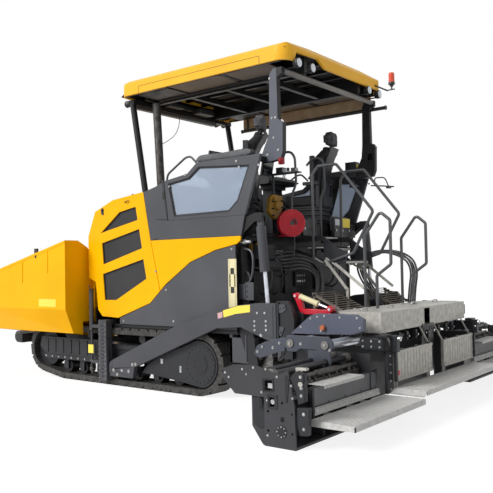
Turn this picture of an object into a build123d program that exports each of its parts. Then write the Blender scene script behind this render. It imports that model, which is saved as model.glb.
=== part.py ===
from build123d import *
import os
from collections import namedtuple
from math import asin, atan2, ceil, cos, hypot, pi, sin

# Asphalt paver on tracks with an extending screed.
# Millimetres, +X forward, +Y left, +Z up, origin on the ground at the middle of its box.

# ---- driving dimensions ----
GAP = 0.3                 # running or seating gap between touching curved faces
BODY_HALF = 1255          # half width over the bodywork panels
TRACK_OUT = BODY_HALF - 5  # half width over the tracks
SHOE_WIDTH = 300
SHOE_PITCH = 155
SHOE_SPACE = 26           # open slot between neighbouring shoes
SHOE_PROUD = 45           # shoe face above the chain's pitch line
SHOE_ROOT = 18            # slot's floor above the pitch line
BAND_INNER = 35           # inside of the chain below the pitch line
SPROCKET_X = -730
IDLER_X = 2200
SPROCKET_PITCH_R = 325
IDLER_PITCH_R = 285
IDLER_LIFT = 70           # idler's belt bottom above the ground
NOSE_X = 1780             # front ground roller
NOSE_PITCH_R = 130
ROLLER_R = 85
PANEL = 20                # panel thickness
DOOR = 45                 # grille door thickness
SHEET = 15                # general sheet thickness
PLATE = 15                # screed end and side plates
DECK_Z = 1835             # underside of the operator's deck
REAR_X = -1290            # tractor's rear wall
HOPPER_REAR_X = 1290      # wing's rear wall
HOPPER_FRONT_X = 3200
WING_HINGE_Y = 740
WING_HINGE_Z = 560
WING_OUT = 1585
WING_TOP_REAR = 1880
WING_TOP_FRONT = 1429
TOW_X = 700               # tow point pin
TOW_Z = 230
ARM_IN = BODY_HALF + 10   # tow arm's inner face
ARM_OUT = ARM_IN + 60
LIFT_TOP = (-1605, 2030)  # lift cylinder's upper pin, X and Z
LIFT_FOOT = (-1690, 1040)  # rod eye, X and Z
LIFT_Y = ARM_IN - 75
SCREED_FRONT = -2000
SCREED_BACK = -2460
SCREED_HALF = ARM_IN - 20
SCREED_TOP = 805
EXT_INNER = ARM_IN + 10
EXT_OUTER = 2605
TUBE_R = 45
TUBE_Z = 745
SLEEVE_R = 56
TUBE_CLEAR = 1
COVER_TOP = 1016
WALK_TOP = 290            # main walkway
EXT_WALK_TOP = 230
AUGER_X = -1500
AUGER_Z = 420
AUGER_R = 190
AUGER_SHAFT_R = 35
AUGER_PITCH = 280
ROOF_HIGH = 3968
ROOF_LOW = ROOF_HIGH - 228
ROOF_EDGE = ROOF_HIGH - 41  # top of the roof's sides
ROOF_INNER = ROOF_HIGH - 88
ROOF_FRONT = 710
ROOF_BACK = -1950
ROOF_HALF = 1130
ROOF_WALL = 30

NODES = {}


# ---- helpers ----
def box(x0, x1, y0, y1, z0, z1):
    return Pos((x0 + x1) / 2, (y0 + y1) / 2, (z0 + z1) / 2) * Box(x1 - x0, y1 - y0, z1 - z0)


def face_of(points):
    return make_face(Polyline(*points, close=True))


def prism_xz(points, y0, y1):
    """Outline in X and Z, from y0 to y1."""
    return extrude(Plane.XZ.offset(-y1) * face_of(points), y1 - y0)


def prism_yz(points, x0, x1):
    """Outline in Y and Z, from x0 to x1."""
    return extrude(Plane.YZ.offset(x0) * face_of(points), x1 - x0)


def rod_x(y, z, r, x0, x1):
    return Pos((x0 + x1) / 2, y, z) * Rot(0, 90, 0) * Cylinder(r, x1 - x0)


def rod_y(x, z, r, y0, y1):
    return Pos(x, (y0 + y1) / 2, z) * Rot(90, 0, 0) * Cylinder(r, y1 - y0)


def rod_z(x, y, r, z0, z1):
    return Pos(x, y, (z0 + z1) / 2) * Cylinder(r, z1 - z0)


def pipe(points, r, bend):
    """Round bar along straight runs joined by tangent arcs."""
    line = FilletPolyline(*points, radius=bend) if len(points) > 2 else Polyline(*points)
    return sweep(Plane(line @ 0, z_dir=line % 0) * Circle(r), path=line)


def other_side(shape):
    return mirror(shape, about=Plane.XZ)


def keep(name, *shapes):
    NODES.setdefault(name, []).extend(shapes)


def keep_pair(name, shape):
    """Left and right copies in one node."""
    keep(name, shape, other_side(shape))


def keep_sides(name, shape):
    """Left and right copies in a node each."""
    keep(name + "_left", shape)
    keep(name + "_right", other_side(shape))


# ---- track path: a belt round three circles, anticlockwise seen from the right ----
Wheel = namedtuple("Wheel", "x z r")
Span = namedtuple("Span", "kind length start_x start_z angle centre")

TRACK_WHEELS = (
    Wheel(SPROCKET_X, SPROCKET_PITCH_R + SHOE_PROUD, SPROCKET_PITCH_R),
    Wheel(NOSE_X, NOSE_PITCH_R + SHOE_PROUD, NOSE_PITCH_R),
    Wheel(IDLER_X, IDLER_PITCH_R + SHOE_PROUD + IDLER_LIFT, IDLER_PITCH_R),
)


def belt_angles(wheels):
    """Travel direction of each straight run between one wheel and the next."""
    angles = []
    for a, b in zip(wheels, wheels[1:] + wheels[:1]):
        reach = hypot(b.x - a.x, b.z - a.z)
        angles.append(atan2(b.z - a.z, b.x - a.x) + asin((a.r - b.r) / reach))
    return angles


def belt_spans(wheels):
    """Straight runs and arcs in order, each with its length along the pitch line."""
    angles = belt_angles(wheels)
    spans = []
    for i, wheel in enumerate(wheels):
        nxt = wheels[(i + 1) % len(wheels)]
        t = angles[i]
        p = (wheel.x + wheel.r * sin(t), wheel.z - wheel.r * cos(t))
        q = (nxt.x + nxt.r * sin(t), nxt.z - nxt.r * cos(t))
        spans.append(Span("run", hypot(q[0] - p[0], q[1] - p[1]), p[0], p[1], t, None))
        turn = (angles[(i + 1) % len(wheels)] - t) % (2 * pi)
        spans.append(Span("arc", turn * nxt.r, q[0], q[1], t, nxt))
    return spans


def belt_point(spans, s, proud):
    """Point at length s, moved outwards by proud."""
    for span in spans:
        if s <= span.length:
            break
        s -= span.length
    if span.kind == "run":
        t = span.angle
        x, z = span.start_x + s * cos(t), span.start_z + s * sin(t)
    else:
        wheel = span.centre
        t = span.angle + s / wheel.r
        x, z = wheel.x + wheel.r * sin(t), wheel.z - wheel.r * cos(t)
    return (x + proud * sin(t), z - proud * cos(t))


def belt_hull(wheels, shrink):
    """Face bounded by the belt at a depth below its pitch line."""
    angles = belt_angles(wheels)
    edges = []
    for i, wheel in enumerate(wheels):
        nxt = wheels[(i + 1) % len(wheels)]
        t0, t1 = angles[i], angles[(i + 1) % len(wheels)]
        turn = (t1 - t0) % (2 * pi)
        ra, rb = wheel.r - shrink, nxt.r - shrink
        p = (wheel.x + ra * sin(t0), wheel.z - ra * cos(t0))
        q = (nxt.x + rb * sin(t0), nxt.z - rb * cos(t0))
        m = (nxt.x + rb * sin(t0 + turn / 2), nxt.z - rb * cos(t0 + turn / 2))
        e = (nxt.x + rb * sin(t0 + turn), nxt.z - rb * cos(t0 + turn))
        edges.append(Line(p, q))
        edges.append(ThreePointArc(q, m, e))
    return make_face(edges)


def track():
    """Endless chain with its shoes in the outline."""
    spans = belt_spans(TRACK_WHEELS)
    total = sum(span.length for span in spans)
    count = round(total / SHOE_PITCH)
    pitch = total / count
    outline = []
    for i in range(count):
        s0 = i * pitch + SHOE_SPACE / 2
        s1 = (i + 1) * pitch - SHOE_SPACE / 2
        for s, proud in ((s0, SHOE_ROOT), (s0, SHOE_PROUD), (s1, SHOE_PROUD), (s1, SHOE_ROOT)):
            outline.append(belt_point(spans, s, proud))
    outer = Plane.XZ.offset(-TRACK_OUT) * face_of(outline)
    inner = Plane.XZ.offset(-TRACK_OUT) * belt_hull(TRACK_WHEELS, BAND_INNER)
    return extrude(outer, SHOE_WIDTH) - extrude(inner, SHOE_WIDTH)


# ---- track frame with its rollers, idler and sprocket ----
FRAME_IN = TRACK_OUT - 250
FRAME_OUT = TRACK_OUT - 50
WHEEL_IN = TRACK_OUT - 220
WHEEL_OUT = TRACK_OUT - 80
GROUND_ROLLERS_X = (-330, 25, 380, 735, 1090, 1445)
CARRIER_ROLLERS_X = (300, 1300)
CARRIER_R = 55


def track_frame():
    sprocket, nose, idler = TRACK_WHEELS
    beam = [(-480, 300), (1900, 300), (2010, 350), (2010, 470), (1900, 520), (-480, 520)]
    shape = prism_xz(beam, FRAME_IN, FRAME_OUT)
    plates = ((FRAME_IN, FRAME_IN + 28), (FRAME_OUT - 28, FRAME_OUT))
    floor = SHOE_PROUD + BAND_INNER
    for x in GROUND_ROLLERS_X + (NOSE_X,):
        r = ROLLER_R if x != NOSE_X else NOSE_PITCH_R - BAND_INNER
        z = floor + r + (GAP if x != NOSE_X else 0)
        shape += rod_y(x, z, r - (0 if x != NOSE_X else GAP), WHEEL_IN, WHEEL_OUT)
        for y0, y1 in plates:
            shape += box(x - 42, x + 42, y0, y1, z - 42, 310)
        shape += rod_y(x, z, 34, FRAME_IN, FRAME_OUT)
    top = belt_angles(TRACK_WHEELS)[2]
    for x in CARRIER_ROLLERS_X:
        face = idler.z + IDLER_PITCH_R - BAND_INNER + (x - idler.x) * sin(top) / cos(top)
        z = face - CARRIER_R - GAP
        shape += rod_y(x, z, CARRIER_R, WHEEL_IN, WHEEL_OUT)
        shape += box(x - 25, x + 25, WHEEL_IN + 50, WHEEL_OUT - 50, 510, z)
    for wheel, pitch_r in ((sprocket, SPROCKET_PITCH_R), (idler, IDLER_PITCH_R)):
        shape += rod_y(wheel.x, wheel.z, pitch_r - BAND_INNER - GAP, WHEEL_IN, WHEEL_OUT)
    for y0, y1 in plates:
        shape += prism_xz([(1900, 330), (2270, 345), (2270, 460), (1900, 500)], y0, y1)
        shape += prism_xz([(-820, 290), (-400, 310), (-400, 510), (-820, 450)], y0, y1)
    shape += rod_y(idler.x, idler.z, 60, FRAME_IN, FRAME_OUT)
    shape += rod_y(sprocket.x, sprocket.z, 262, WHEEL_OUT, TRACK_OUT - 12)
    shape += rod_y(sprocket.x, sprocket.z, 120, TRACK_OUT - 12, TRACK_OUT - 4)
    shape += rod_y(sprocket.x, sprocket.z, 150, FRAME_IN - 40, WHEEL_IN)
    shape += box(-380, 1900, FRAME_OUT, FRAME_OUT + 22, 462, 512)
    return shape


# ---- main frame ----
TUNNEL_HALF = 640
FLOOR_Z = 450
FRAME_TOP = 980
FENDER_Z = 765
DRUM_X = -1200            # conveyor's drive drums
DRUM_R = 60
BELT_TOP = 500


def main_frame():
    side = [(REAR_X + 20, 330), (3150, 330), (3150, 540), (1250, 540), (1165, 600),
            (1165, FRAME_TOP), (REAR_X + 20, FRAME_TOP)]
    shape = prism_xz(side, TUNNEL_HALF, TUNNEL_HALF + 25)
    shape += prism_xz(side, -TUNNEL_HALF - 25, -TUNNEL_HALF)
    shape += box(DRUM_X + DRUM_R + 5, 3150, -TUNNEL_HALF, TUNNEL_HALF, FLOOR_Z, FLOOR_Z + 20)
    shape += box(REAR_X + 20, 1165, -TUNNEL_HALF, TUNNEL_HALF, FRAME_TOP - 20, FRAME_TOP)
    for x in (-300, 1080):
        shape += box(x, x + 190, -FRAME_IN, FRAME_IN, 345, FLOOR_Z)
    for s in (-1, 1):
        y0, y1 = sorted((s * (TUNNEL_HALF + 25), s * (BODY_HALF - PANEL)))
        shape += box(REAR_X + 20, 1000, y0, y1, FENDER_Z, FENDER_Z + 20)
        shape += box(1000, 1165, y0, y1, FENDER_Z, FENDER_Z + 20)
        shape += box(1145, 1165, *sorted((s * TUNNEL_HALF, s * (BODY_HALF - 65))), FENDER_Z + 20, 985)
    return shape + box(REAR_X, REAR_X + 20, PANEL - BODY_HALF, BODY_HALF - PANEL, FENDER_Z, DECK_Z)


def engine_block():
    return box(110, 1050, -520, 520, FRAME_TOP, 1700)


# ---- conveyors: two slat chains side by side ----
SLAT_STEP = 250
SLAT_HIGH = 16
CHAIN_IN = 30
CHAIN_OUT = 600
CHAIN_FRONT = 3060


def conveyor():
    shape = box(DRUM_X, CHAIN_FRONT, CHAIN_IN, CHAIN_OUT, FLOOR_Z + 20, BELT_TOP)
    shape += rod_y(DRUM_X, BELT_TOP - DRUM_R, DRUM_R, CHAIN_IN, CHAIN_OUT)
    shape += rod_y(DRUM_X, BELT_TOP - DRUM_R, 30, CHAIN_OUT, TUNNEL_HALF)
    count = int((CHAIN_FRONT - DRUM_X - 150) / SLAT_STEP)
    for i in range(count + 1):
        x = DRUM_X + 90 + i * SLAT_STEP
        shape += box(x, x + 28, CHAIN_IN + 15, CHAIN_OUT - 15, BELT_TOP, BELT_TOP + SLAT_HIGH)
    return shape


# ---- bodywork outlines in X and Z ----
SEAM_LOW = (-110, 1215)
SEAM_MID = (46, 1866)
SEAM_TOP = (157, 2444)
DOME = (SEAM_TOP, (715, 2385), (1073, 2252), (1215, 1930))
DOOR_OUTLINE = ((1215, 1930), (1210, 1380), (1080, 1330), (1030, 960), (950, 880), (650, 868),
                (63, 1067), SEAM_LOW, SEAM_MID, SEAM_TOP, (715, 2385), (1073, 2252))
DOOR_WINDOWS = (
    ((970, 1965), (600, 2221), (296, 2271), (263, 2101)),
    ((943, 1834), (238, 1988), (190, 1745), (919, 1554)),
    ((931, 1431), (168, 1610), (120, 1364), (678, 1094), (899, 1091)),
)
SEAM_GAP = 6
GRILLE_STEP = 42
DOOR_HINGE_X = 1226
DOOR_HINGE_Y = BODY_HALF - DOOR / 2
KNUCKLE_R = 11
KNUCKLE_HIGH = 40
DOOR_KNUCKLES_Z = (1500, 1830)
HOOD_FRONT = 1180
HOOD_HALF = BODY_HALF - DOOR - 6


def door_knuckles():
    """Hinge barrels on the door's front edge, each resting on one of the hood's."""
    shape = None
    for z in DOOR_KNUCKLES_Z:
        barrel = rod_z(DOOR_HINGE_X, DOOR_HINGE_Y, KNUCKLE_R, z + GAP, z + KNUCKLE_HIGH)
        barrel += box(1205, DOOR_HINGE_X, DOOR_HINGE_Y - 6, DOOR_HINGE_Y + 6, z + GAP, z + KNUCKLE_HIGH)
        shape = barrel if shape is None else shape + barrel
    return shape


def hood_knuckles():
    shape = None
    for z in DOOR_KNUCKLES_Z:
        low = z - KNUCKLE_HIGH
        arm = rod_z(DOOR_HINGE_X, DOOR_HINGE_Y, KNUCKLE_R, low, z)
        arm += box(DOOR_HINGE_X - 9, DOOR_HINGE_X + 9, HOOD_HALF - 10, DOOR_HINGE_Y, low, z)
        arm += box(HOOD_FRONT - 10, DOOR_HINGE_X + 9, HOOD_HALF - 14, HOOD_HALF, low, z)
        shape = arm if shape is None else shape + arm
    return shape


def grille_bars(window, y0, y1):
    """Level bars across a window."""
    low = min(p[1] for p in window)
    high = max(p[1] for p in window)
    left = min(p[0] for p in window)
    right = max(p[0] for p in window)
    bars = None
    for i in range(1, int((high - low) / GRILLE_STEP)):
        z = low + i * GRILLE_STEP
        bar = box(left - 20, right + 20, y0, y1, z - 5, z + 5)
        bars = bar if bars is None else bars + bar
    return bars & prism_xz(grown(window, 8), y0, y1)


def grown(points, by):
    """Convex outline moved outwards from its middle."""
    cx = sum(p[0] for p in points) / len(points)
    cz = sum(p[1] for p in points) / len(points)
    out = []
    for x, z in points:
        reach = hypot(x - cx, z - cz)
        out.append((x + by * (x - cx) / reach, z + by * (z - cz) / reach))
    return out


def grille_door():
    shape = prism_xz(DOOR_OUTLINE, BODY_HALF - DOOR, BODY_HALF)
    for window in DOOR_WINDOWS:
        shape -= prism_xz(window, BODY_HALF - DOOR - 1, BODY_HALF + 1)
    for window in DOOR_WINDOWS:
        shape += grille_bars(window, BODY_HALF - DOOR + 5, BODY_HALF - DOOR + 17)
    return shape + door_knuckles()


def hood():
    """Yellow top sheet over the engine, open at the sides."""
    y = HOOD_HALF
    outer = [(60, 985), (1180, 985), (1180, 1925), (1050, 2225), (705, 2355), (60, 2425)]
    inner = [(60 + SHEET, 900), (1180 - SHEET, 900), (1180 - SHEET, 1922), (1039, 2213),
             (702, 2340), (60 + SHEET, 2408)]
    shape = prism_xz(outer, -y, y) - prism_xz(inner, -y - 1, y + 1)
    return shape + hood_knuckles() + other_side(hood_knuckles())


STRIP_LOW = 1838
STRIP_HIGH = 2062


def cowl():
    """Dark housing behind the hood with the long side strips."""
    side = [(36, STRIP_LOW), (46 - SEAM_GAP, 1866), (157 - SEAM_GAP, 2440), (-60, 2490), (-190, 2535),
            (-262, STRIP_HIGH), (-1440, STRIP_HIGH), (-1385, STRIP_LOW)]
    shape = None
    for s in (-1, 1):
        plate = prism_xz(side, *sorted((s * (BODY_HALF - PANEL), s * BODY_HALF)))
        shape = plate if shape is None else shape + plate
    y = BODY_HALF - PANEL
    skin = [(45, 2420), (45, 2446), (-60, 2484), (-190, 2528), (-230, 2300), (-230, DECK_Z + 20),
            (-215, DECK_Z + 20), (-215, 2300), (-180, 2510), (-60, 2468)]
    return shape + prism_xz(skin, -y, y)


def side_panel():
    """Yellow panel behind the grille door."""
    x, z = SEAM_LOW
    outline = [(x - SEAM_GAP, z + 4), (-200, 1292), (-615, 1559), (-1004, 1688), (-1320, 1748),
               (-1372, 1785), (-1380, STRIP_LOW - 3), (34, STRIP_LOW - 3)]
    return prism_xz(outline, BODY_HALF - PANEL, BODY_HALF)


def lower_panel():
    outline = [(615, 790), (615, 868), (63, 1060), (-118, 1212), (-204, 1284), (-617, 1552), (-1005, 1681),
               (-1300, 1738), (-1300, 790)]
    return prism_xz(outline, BODY_HALF - PANEL, BODY_HALF)


GLASS = ((-285, 2503), (-613, 2545), (-773, 2658), (-1507, 2605), (-1344, 2233), (-1212, 2119), (-376, 2112))
CAB_TOP = 2718


def cab_side():
    """Upper side wall with its window opening."""
    upper = [(-270, STRIP_HIGH), (-205, 2545), (-590, 2600), (-745, CAB_TOP), (-1675, CAB_TOP),
             (-1447, STRIP_HIGH)]
    shape = prism_xz(upper, BODY_HALF - 40, BODY_HALF)
    return shape - prism_xz(GLASS, BODY_HALF - 41, BODY_HALF + 1)


def cab_glass():
    return prism_xz(grown(GLASS, -1), BODY_HALF - 26, BODY_HALF - 20)


def cab_cap():
    """Padded rest on top of the side wall."""
    return box(-1460, -760, BODY_HALF - 110, BODY_HALF - 2, CAB_TOP + GAP, CAB_TOP + 85)


# ---- platform ----
DECK_BACK = -1450
DECK_BACK_HALF = BODY_HALF - 125
STAIR_HALF = 300


def platform():
    half = BODY_HALF - PANEL
    shape = box(REAR_X, -240, -half, half, DECK_Z, DECK_Z + 20)
    shape += box(DECK_BACK, REAR_X, -DECK_BACK_HALF, DECK_BACK_HALF, DECK_Z, DECK_Z + 20)
    for s in (-1, 1):
        shape += box(REAR_X, -240, *sorted((s * (half - 20), s * half)), DECK_Z + 20, STRIP_HIGH)
    return shape


def steps():
    """Stairs from the middle of the deck towards the screed."""
    side = [(DECK_BACK, DECK_Z), (DECK_BACK, 1640), (-1780, 1490), (-2158, 1480), (-2174, 1637), (-2018, 1711),
            (-1890, 1800), (-1860, DECK_Z)]
    shape = None
    for s in (-1, 1):
        plate = prism_xz(side, *sorted((s * STAIR_HALF, s * (STAIR_HALF + 12))))
        shape = plate if shape is None else shape + plate
    for x, z in ((-1880, 1690), (-2120, 1530)):
        shape += box(x, x + 240, -STAIR_HALF, STAIR_HALF, z, z + 18)
    return shape


SEAT_X = -1040
SEAT_Y = BODY_HALF - 470


def seat_base(s):
    y = s * SEAT_Y
    shape = box(SEAT_X - 170, SEAT_X + 170, y - 170, y + 170, DECK_Z + 20, 2290)
    for side in (-1, 1):
        at = y + side * 270
        shape += box(SEAT_X - 150, SEAT_X - 110, at - 25, at + 25, 2250, 2560)
        shape += box(SEAT_X - 150, SEAT_X + 220, at - 30, at + 30, 2560, 2600)
    shape += box(SEAT_X - 150, SEAT_X - 110, y - 295, y + 295, 2250, 2290)
    return shape


def seat_cushion(s):
    y = s * SEAT_Y
    return box(SEAT_X - 100, SEAT_X + 280, y - 235, y + 235, 2290 + GAP, 2400)


def seat_back(s):
    y = s * SEAT_Y
    low = [(SEAT_X - 105, 2290 + GAP), (SEAT_X - 230, 2290 + GAP), (SEAT_X - 330, 2900), (SEAT_X - 240, 2900)]
    shape = prism_xz(low, y - 225, y + 225)
    head = [(SEAT_X - 250, 2900), (SEAT_X - 320, 2900), (SEAT_X - 345, 3280), (SEAT_X - 270, 3280)]
    return shape + prism_xz(head, y - 130, y + 130)


def console():
    """Two operator stands with displays."""
    shape = None
    for s in (-1, 1):
        y = s * 560
        stand = box(-620, -420, y - 130, y + 130, DECK_Z + 20, 2650)
        top = prism_xz([(-700, 2650), (-400, 2650), (-400, 2760), (-700, 2690)], y - 330, y + 330)
        screen = prism_xz([(-440, 2745), (-400, 2755), (-440, 2960), (-480, 2950)], y - 120, y + 120)
        unit = stand + top + screen
        shape = unit if shape is None else shape + unit
    return shape


def rear_panel():
    """Small switch box on feet at the deck's rear edge."""
    shape = box(DECK_BACK, DECK_BACK + 60, -980, -640, 1950, 2130)
    for y in (-960, -700):
        shape += box(DECK_BACK + 15, DECK_BACK + 45, y, y + 40, DECK_Z + 20, 1950)
    return shape


# ---- canopy ----
HOOD_REAR = (60, 2425)
HOOD_CREST = (705, 2355)


def hood_top(x):
    slope = (HOOD_CREST[1] - HOOD_REAR[1]) / (HOOD_CREST[0] - HOOD_REAR[0])
    return HOOD_REAR[1] + slope * (x - HOOD_REAR[0])


POST_Y = BODY_HALF - 275
BEAM_LOW = ROOF_LOW - 50    # underside of the long beams
POST_FRONT = ((385, POST_Y, hood_top(385) + 5), (609, POST_Y, BEAM_LOW - 30))
POST_REAR = ((-1570, 2729), (-1602, 2799), (-1666, 2922), (-1680, 3083), (-1690, BEAM_LOW - 90),
             (-1740, BEAM_LOW - 22), (-1860, BEAM_LOW - 22), (-1860, BEAM_LOW - 90), (-1795, BEAM_LOW - 130),
             (-1800, 3110), (-1867, 3056), (-1859, 2737),
             (-1828, 2660), (-1699, 2642), (-1570, 2642))
POST_REAR_IN = BODY_HALF - 225
POST_REAR_OUT = POST_REAR_IN + 60
CROSSBAR_X = -1830
CROSSBAR_Z = BEAM_LOW - 50
CROSSBAR_R = 28
BEAM_IN = 590             # long beams under the roof
BEAM_OUT = 650


def canopy_frame():
    """Four posts, a beam across the front, a bar across the rear and two long beams."""
    shape = box(560, 650, -POST_Y - 30, POST_Y + 30, BEAM_LOW - 40, BEAM_LOW + 10)
    shape += rod_y(CROSSBAR_X, CROSSBAR_Z, CROSSBAR_R, -POST_REAR_IN - 5, POST_REAR_IN + 5)
    beam = [(-1870, BEAM_LOW), (600, BEAM_LOW), (600, ROOF_LOW + 10), (558, ROOF_INNER - 55),
            (550, ROOF_INNER), (-1870, ROOF_INNER)]
    for s in (-1, 1):
        shape += pipe([(x, s * y, z) for x, y, z in POST_FRONT], 40, 0)
        shape += prism_xz(POST_REAR, *sorted((s * POST_REAR_IN, s * POST_REAR_OUT)))
        shape += box(-1640, -1580, *sorted((s * POST_REAR_OUT, s * (BODY_HALF - 40))), 2650, 2700)
        y0, y1 = sorted((s * BEAM_IN, s * BEAM_OUT))
        shape += prism_xz(beam, y0, y1)
        shape += box(CROSSBAR_X - 25, CROSSBAR_X + 25, y0, y1, CROSSBAR_Z, BEAM_LOW + 10)
        pad = [(x, hood_top(x) + up) for x, up in ((310, 0), (460, 0), (460, 18), (310, 18))]
        shape += prism_xz(pad, s * POST_Y - 75, s * POST_Y + 75)
    for x in (-1300, -700, -100):
        shape += box(x, x + 60, -BEAM_IN, BEAM_IN, BEAM_LOW + 10, BEAM_LOW + 70)
    return shape


ROOF_SIDE = ((ROOF_BACK, ROOF_LOW), (ROOF_BACK, ROOF_HIGH - 68), (ROOF_BACK + 60, ROOF_HIGH),
             (480, ROOF_HIGH), (ROOF_FRONT - 10, ROOF_LOW + 110), (ROOF_FRONT, ROOF_LOW))
LAMP_NOTCH = ((960, ROOF_LOW - 1), (950, ROOF_LOW + 45), (925, ROOF_LOW + 105), (480, ROOF_LOW + 125),
              (320, ROOF_LOW + 42), (-ROOF_HALF - 1, ROOF_LOW + 42), (-ROOF_HALF - 1, ROOF_LOW - 1))


def canopy_roof():
    """Moulded roof, crowned, open below, with rounded corners and a notch for the rear lamps."""
    length = ROOF_FRONT - ROOF_BACK
    corner = Pos((ROOF_FRONT + ROOF_BACK) / 2, 0, ROOF_LOW)
    plan = corner * extrude(RectangleRounded(length, 2 * ROOF_HALF, 150), ROOF_HIGH - ROOF_LOW)
    half, crown, shoulder = ROOF_HALF, ROOF_HALF - 550, ROOF_EDGE - 37
    section = [(-half, ROOF_LOW), (half, ROOF_LOW), (half, shoulder), (half - 40, ROOF_EDGE),
               (crown, ROOF_HIGH), (-crown, ROOF_HIGH), (-half + 40, ROOF_EDGE), (-half, shoulder)]
    outer = plan & prism_yz(section, ROOF_BACK, ROOF_FRONT) & prism_xz(ROOF_SIDE, -half, half)
    inner = corner * extrude(
        RectangleRounded(length - 2 * ROOF_WALL, 2 * (half - ROOF_WALL), 120), ROOF_INNER - ROOF_LOW)
    slope = [(560, ROOF_LOW + 90), (800, ROOF_LOW - 40), (800, ROOF_HIGH), (560, ROOF_HIGH)]
    front = prism_xz(slope, -half, half)
    return outer - (inner - front) - prism_yz(LAMP_NOTCH, ROOF_BACK - 1, ROOF_BACK + ROOF_WALL + 20)


SOFFIT_LOW = ROOF_LOW + 2
SCREEN_LOW = ROOF_LOW - 175


def soffit():
    """Flat lining between a long beam and the roof's side."""
    return box(-1645, -116, BEAM_OUT, ROOF_HALF - ROOF_WALL, SOFFIT_LOW, SOFFIT_LOW + 8)


def side_screen():
    """Roll-down screen on the right, part open."""
    y = -ROOF_HALF + ROOF_WALL / 2
    shape = box(-1780, 400, y - 4, y + 4, SCREEN_LOW, ROOF_LOW)
    return shape + rod_x(y, SCREEN_LOW, 20, -1990, 420)


Lamp = namedtuple("Lamp", "x y face")
LAMP_R = 38
LAMP_HALF = 32
FRONT_LAMP = Lamp(770, ROOF_HALF - 216, 1)
REAR_LAMPS = (Lamp(-1990, 947, -1), Lamp(-1990, 667, -1))


def front_lamp():
    at = FRONT_LAMP
    shape = rod_x(at.y, ROOF_LOW - LAMP_R - 2, LAMP_R, at.x - LAMP_HALF, at.x + LAMP_HALF)
    return shape + box(ROOF_FRONT - 70, at.x - 20, at.y - 18, at.y + 18, ROOF_LOW - 40, ROOF_LOW)


def rear_lamp(at):
    """Lamp on a strap that lies on the rear bar."""
    strap = CROSSBAR_Z + CROSSBAR_R
    shape = rod_x(at.y, strap + LAMP_R + 8, LAMP_R, at.x - LAMP_HALF, at.x + LAMP_HALF)
    return shape + box(at.x - 10, CROSSBAR_X + 20, at.y - 12, at.y + 12, strap + GAP, strap + 12)


def beacon():
    """Warning lamp on a bracket from the roof's rear face."""
    x, y = ROOF_BACK - 75, -ROOF_HALF - 120
    shelf = ROOF_LOW + 92
    shape = box(ROOF_BACK - 12, ROOF_BACK, y - 12, 220 - ROOF_HALF, shelf - 17, shelf + 3)
    shape += box(x - 45, ROOF_BACK, y - 12, y + 12, shelf - 12, shelf)
    return shape + rod_z(x, y, 10, shelf, shelf + 90) + rod_z(x, y, 42, shelf + 90, shelf + 228)


def exhaust():
    y = BODY_HALF - 405
    pad = [(x, hood_top(x) + up) for x, up in ((165, 0), (300, 0), (300, 22), (165, 22))]
    stack = pipe([(235, y, hood_top(235) + 10), (305, y, ROOF_LOW - 100)], 52, 0)
    return stack + prism_xz(pad, y - 60, y + 60)


# ---- hopper ----
def wing_top(x):
    slope = (WING_TOP_FRONT - WING_TOP_REAR) / (HOPPER_FRONT_X - HOPPER_REAR_X)
    return WING_TOP_REAR + slope * (x - HOPPER_REAR_X)


def wing_section(x):
    top = wing_top(x)
    y = WING_HINGE_Y
    return [(y + 25, 545), (WING_OUT - 127, 655), (WING_OUT, 975), (WING_OUT, top),
            (WING_OUT - 210, top), (y + 25, 600)]


def wing_hollow(x):
    top = wing_top(x)
    y = WING_HINGE_Y
    return [(y + 60, 500), (WING_OUT - 139, 500), (WING_OUT - 139, 657), (WING_OUT - 12, 976),
            (WING_OUT - 12, top - 12), (WING_OUT - 195, top - 12), (y + 60, 612)]


def between(section, x0, x1):
    a = Plane.YZ.offset(x0) * face_of(section(x0))
    b = Plane.YZ.offset(x1) * face_of(section(x1))
    return loft([a, b], ruled=True)


WING_REAR_PLATE = ((WING_HINGE_Y + 25, 600), (950, 1450), (1212, 1790), (1370, WING_TOP_REAR),
                   (WING_OUT - 10, WING_TOP_REAR), (WING_OUT - 10, 1000))
WING_KNUCKLES_X = (1400, 2960)
KNUCKLE_LONG = 120


def hopper_wing():
    shape = between(wing_section, HOPPER_REAR_X, HOPPER_FRONT_X)
    walls = (HOPPER_REAR_X + 14, 1900, 1914, 2540, 2554, HOPPER_FRONT_X - 14)
    for x0, x1 in zip(walls[::2], walls[1::2]):
        shape -= between(wing_hollow, x0, x1)
    shape += prism_yz(WING_REAR_PLATE, HOPPER_REAR_X, HOPPER_REAR_X + 14)
    shape -= box(HOPPER_REAR_X - 1, 2600, TRACK_OUT - SHOE_WIDTH - 35, TRACK_OUT + 50, 400, 800)
    for x in WING_KNUCKLES_X:
        end = x + KNUCKLE_LONG
        shape += rod_x(WING_HINGE_Y, WING_HINGE_Z, 24, x, end)
        shape += box(x, end, WING_HINGE_Y, WING_HINGE_Y + 40, WING_HINGE_Z - 12, WING_HINGE_Z + 12)
    return shape


def hopper_floor():
    """Fixed strips beside the chains, hinge lugs, rear wall with the tunnel's mouth, and the apron."""
    shape = box(1300, 3150, 605, 700, 540, 555) + box(1300, 3150, -700, -605, 540, 555)
    wall = box(1250, 1270, -720, 720, 541, 1500) - box(1240, 1280, -600, 600, 500, 860)
    shape += wall
    for s in (-1, 1):
        shape += box(1270, 1301, *sorted((s * 605, s * 700)), 540, 555)
        y0, y1 = sorted((s * 690, s * (WING_HINGE_Y + 5)))
        for x in WING_KNUCKLES_X:
            shape += box(x - 29, x - GAP, y0, y1, 541, WING_HINGE_Z + 22)
            shape += box(x + KNUCKLE_LONG + GAP, x + KNUCKLE_LONG + 29, y0, y1, 541, WING_HINGE_Z + 22)
    shape += box(3150, 3168, -700, 700, 400, 700)
    return shape


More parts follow.
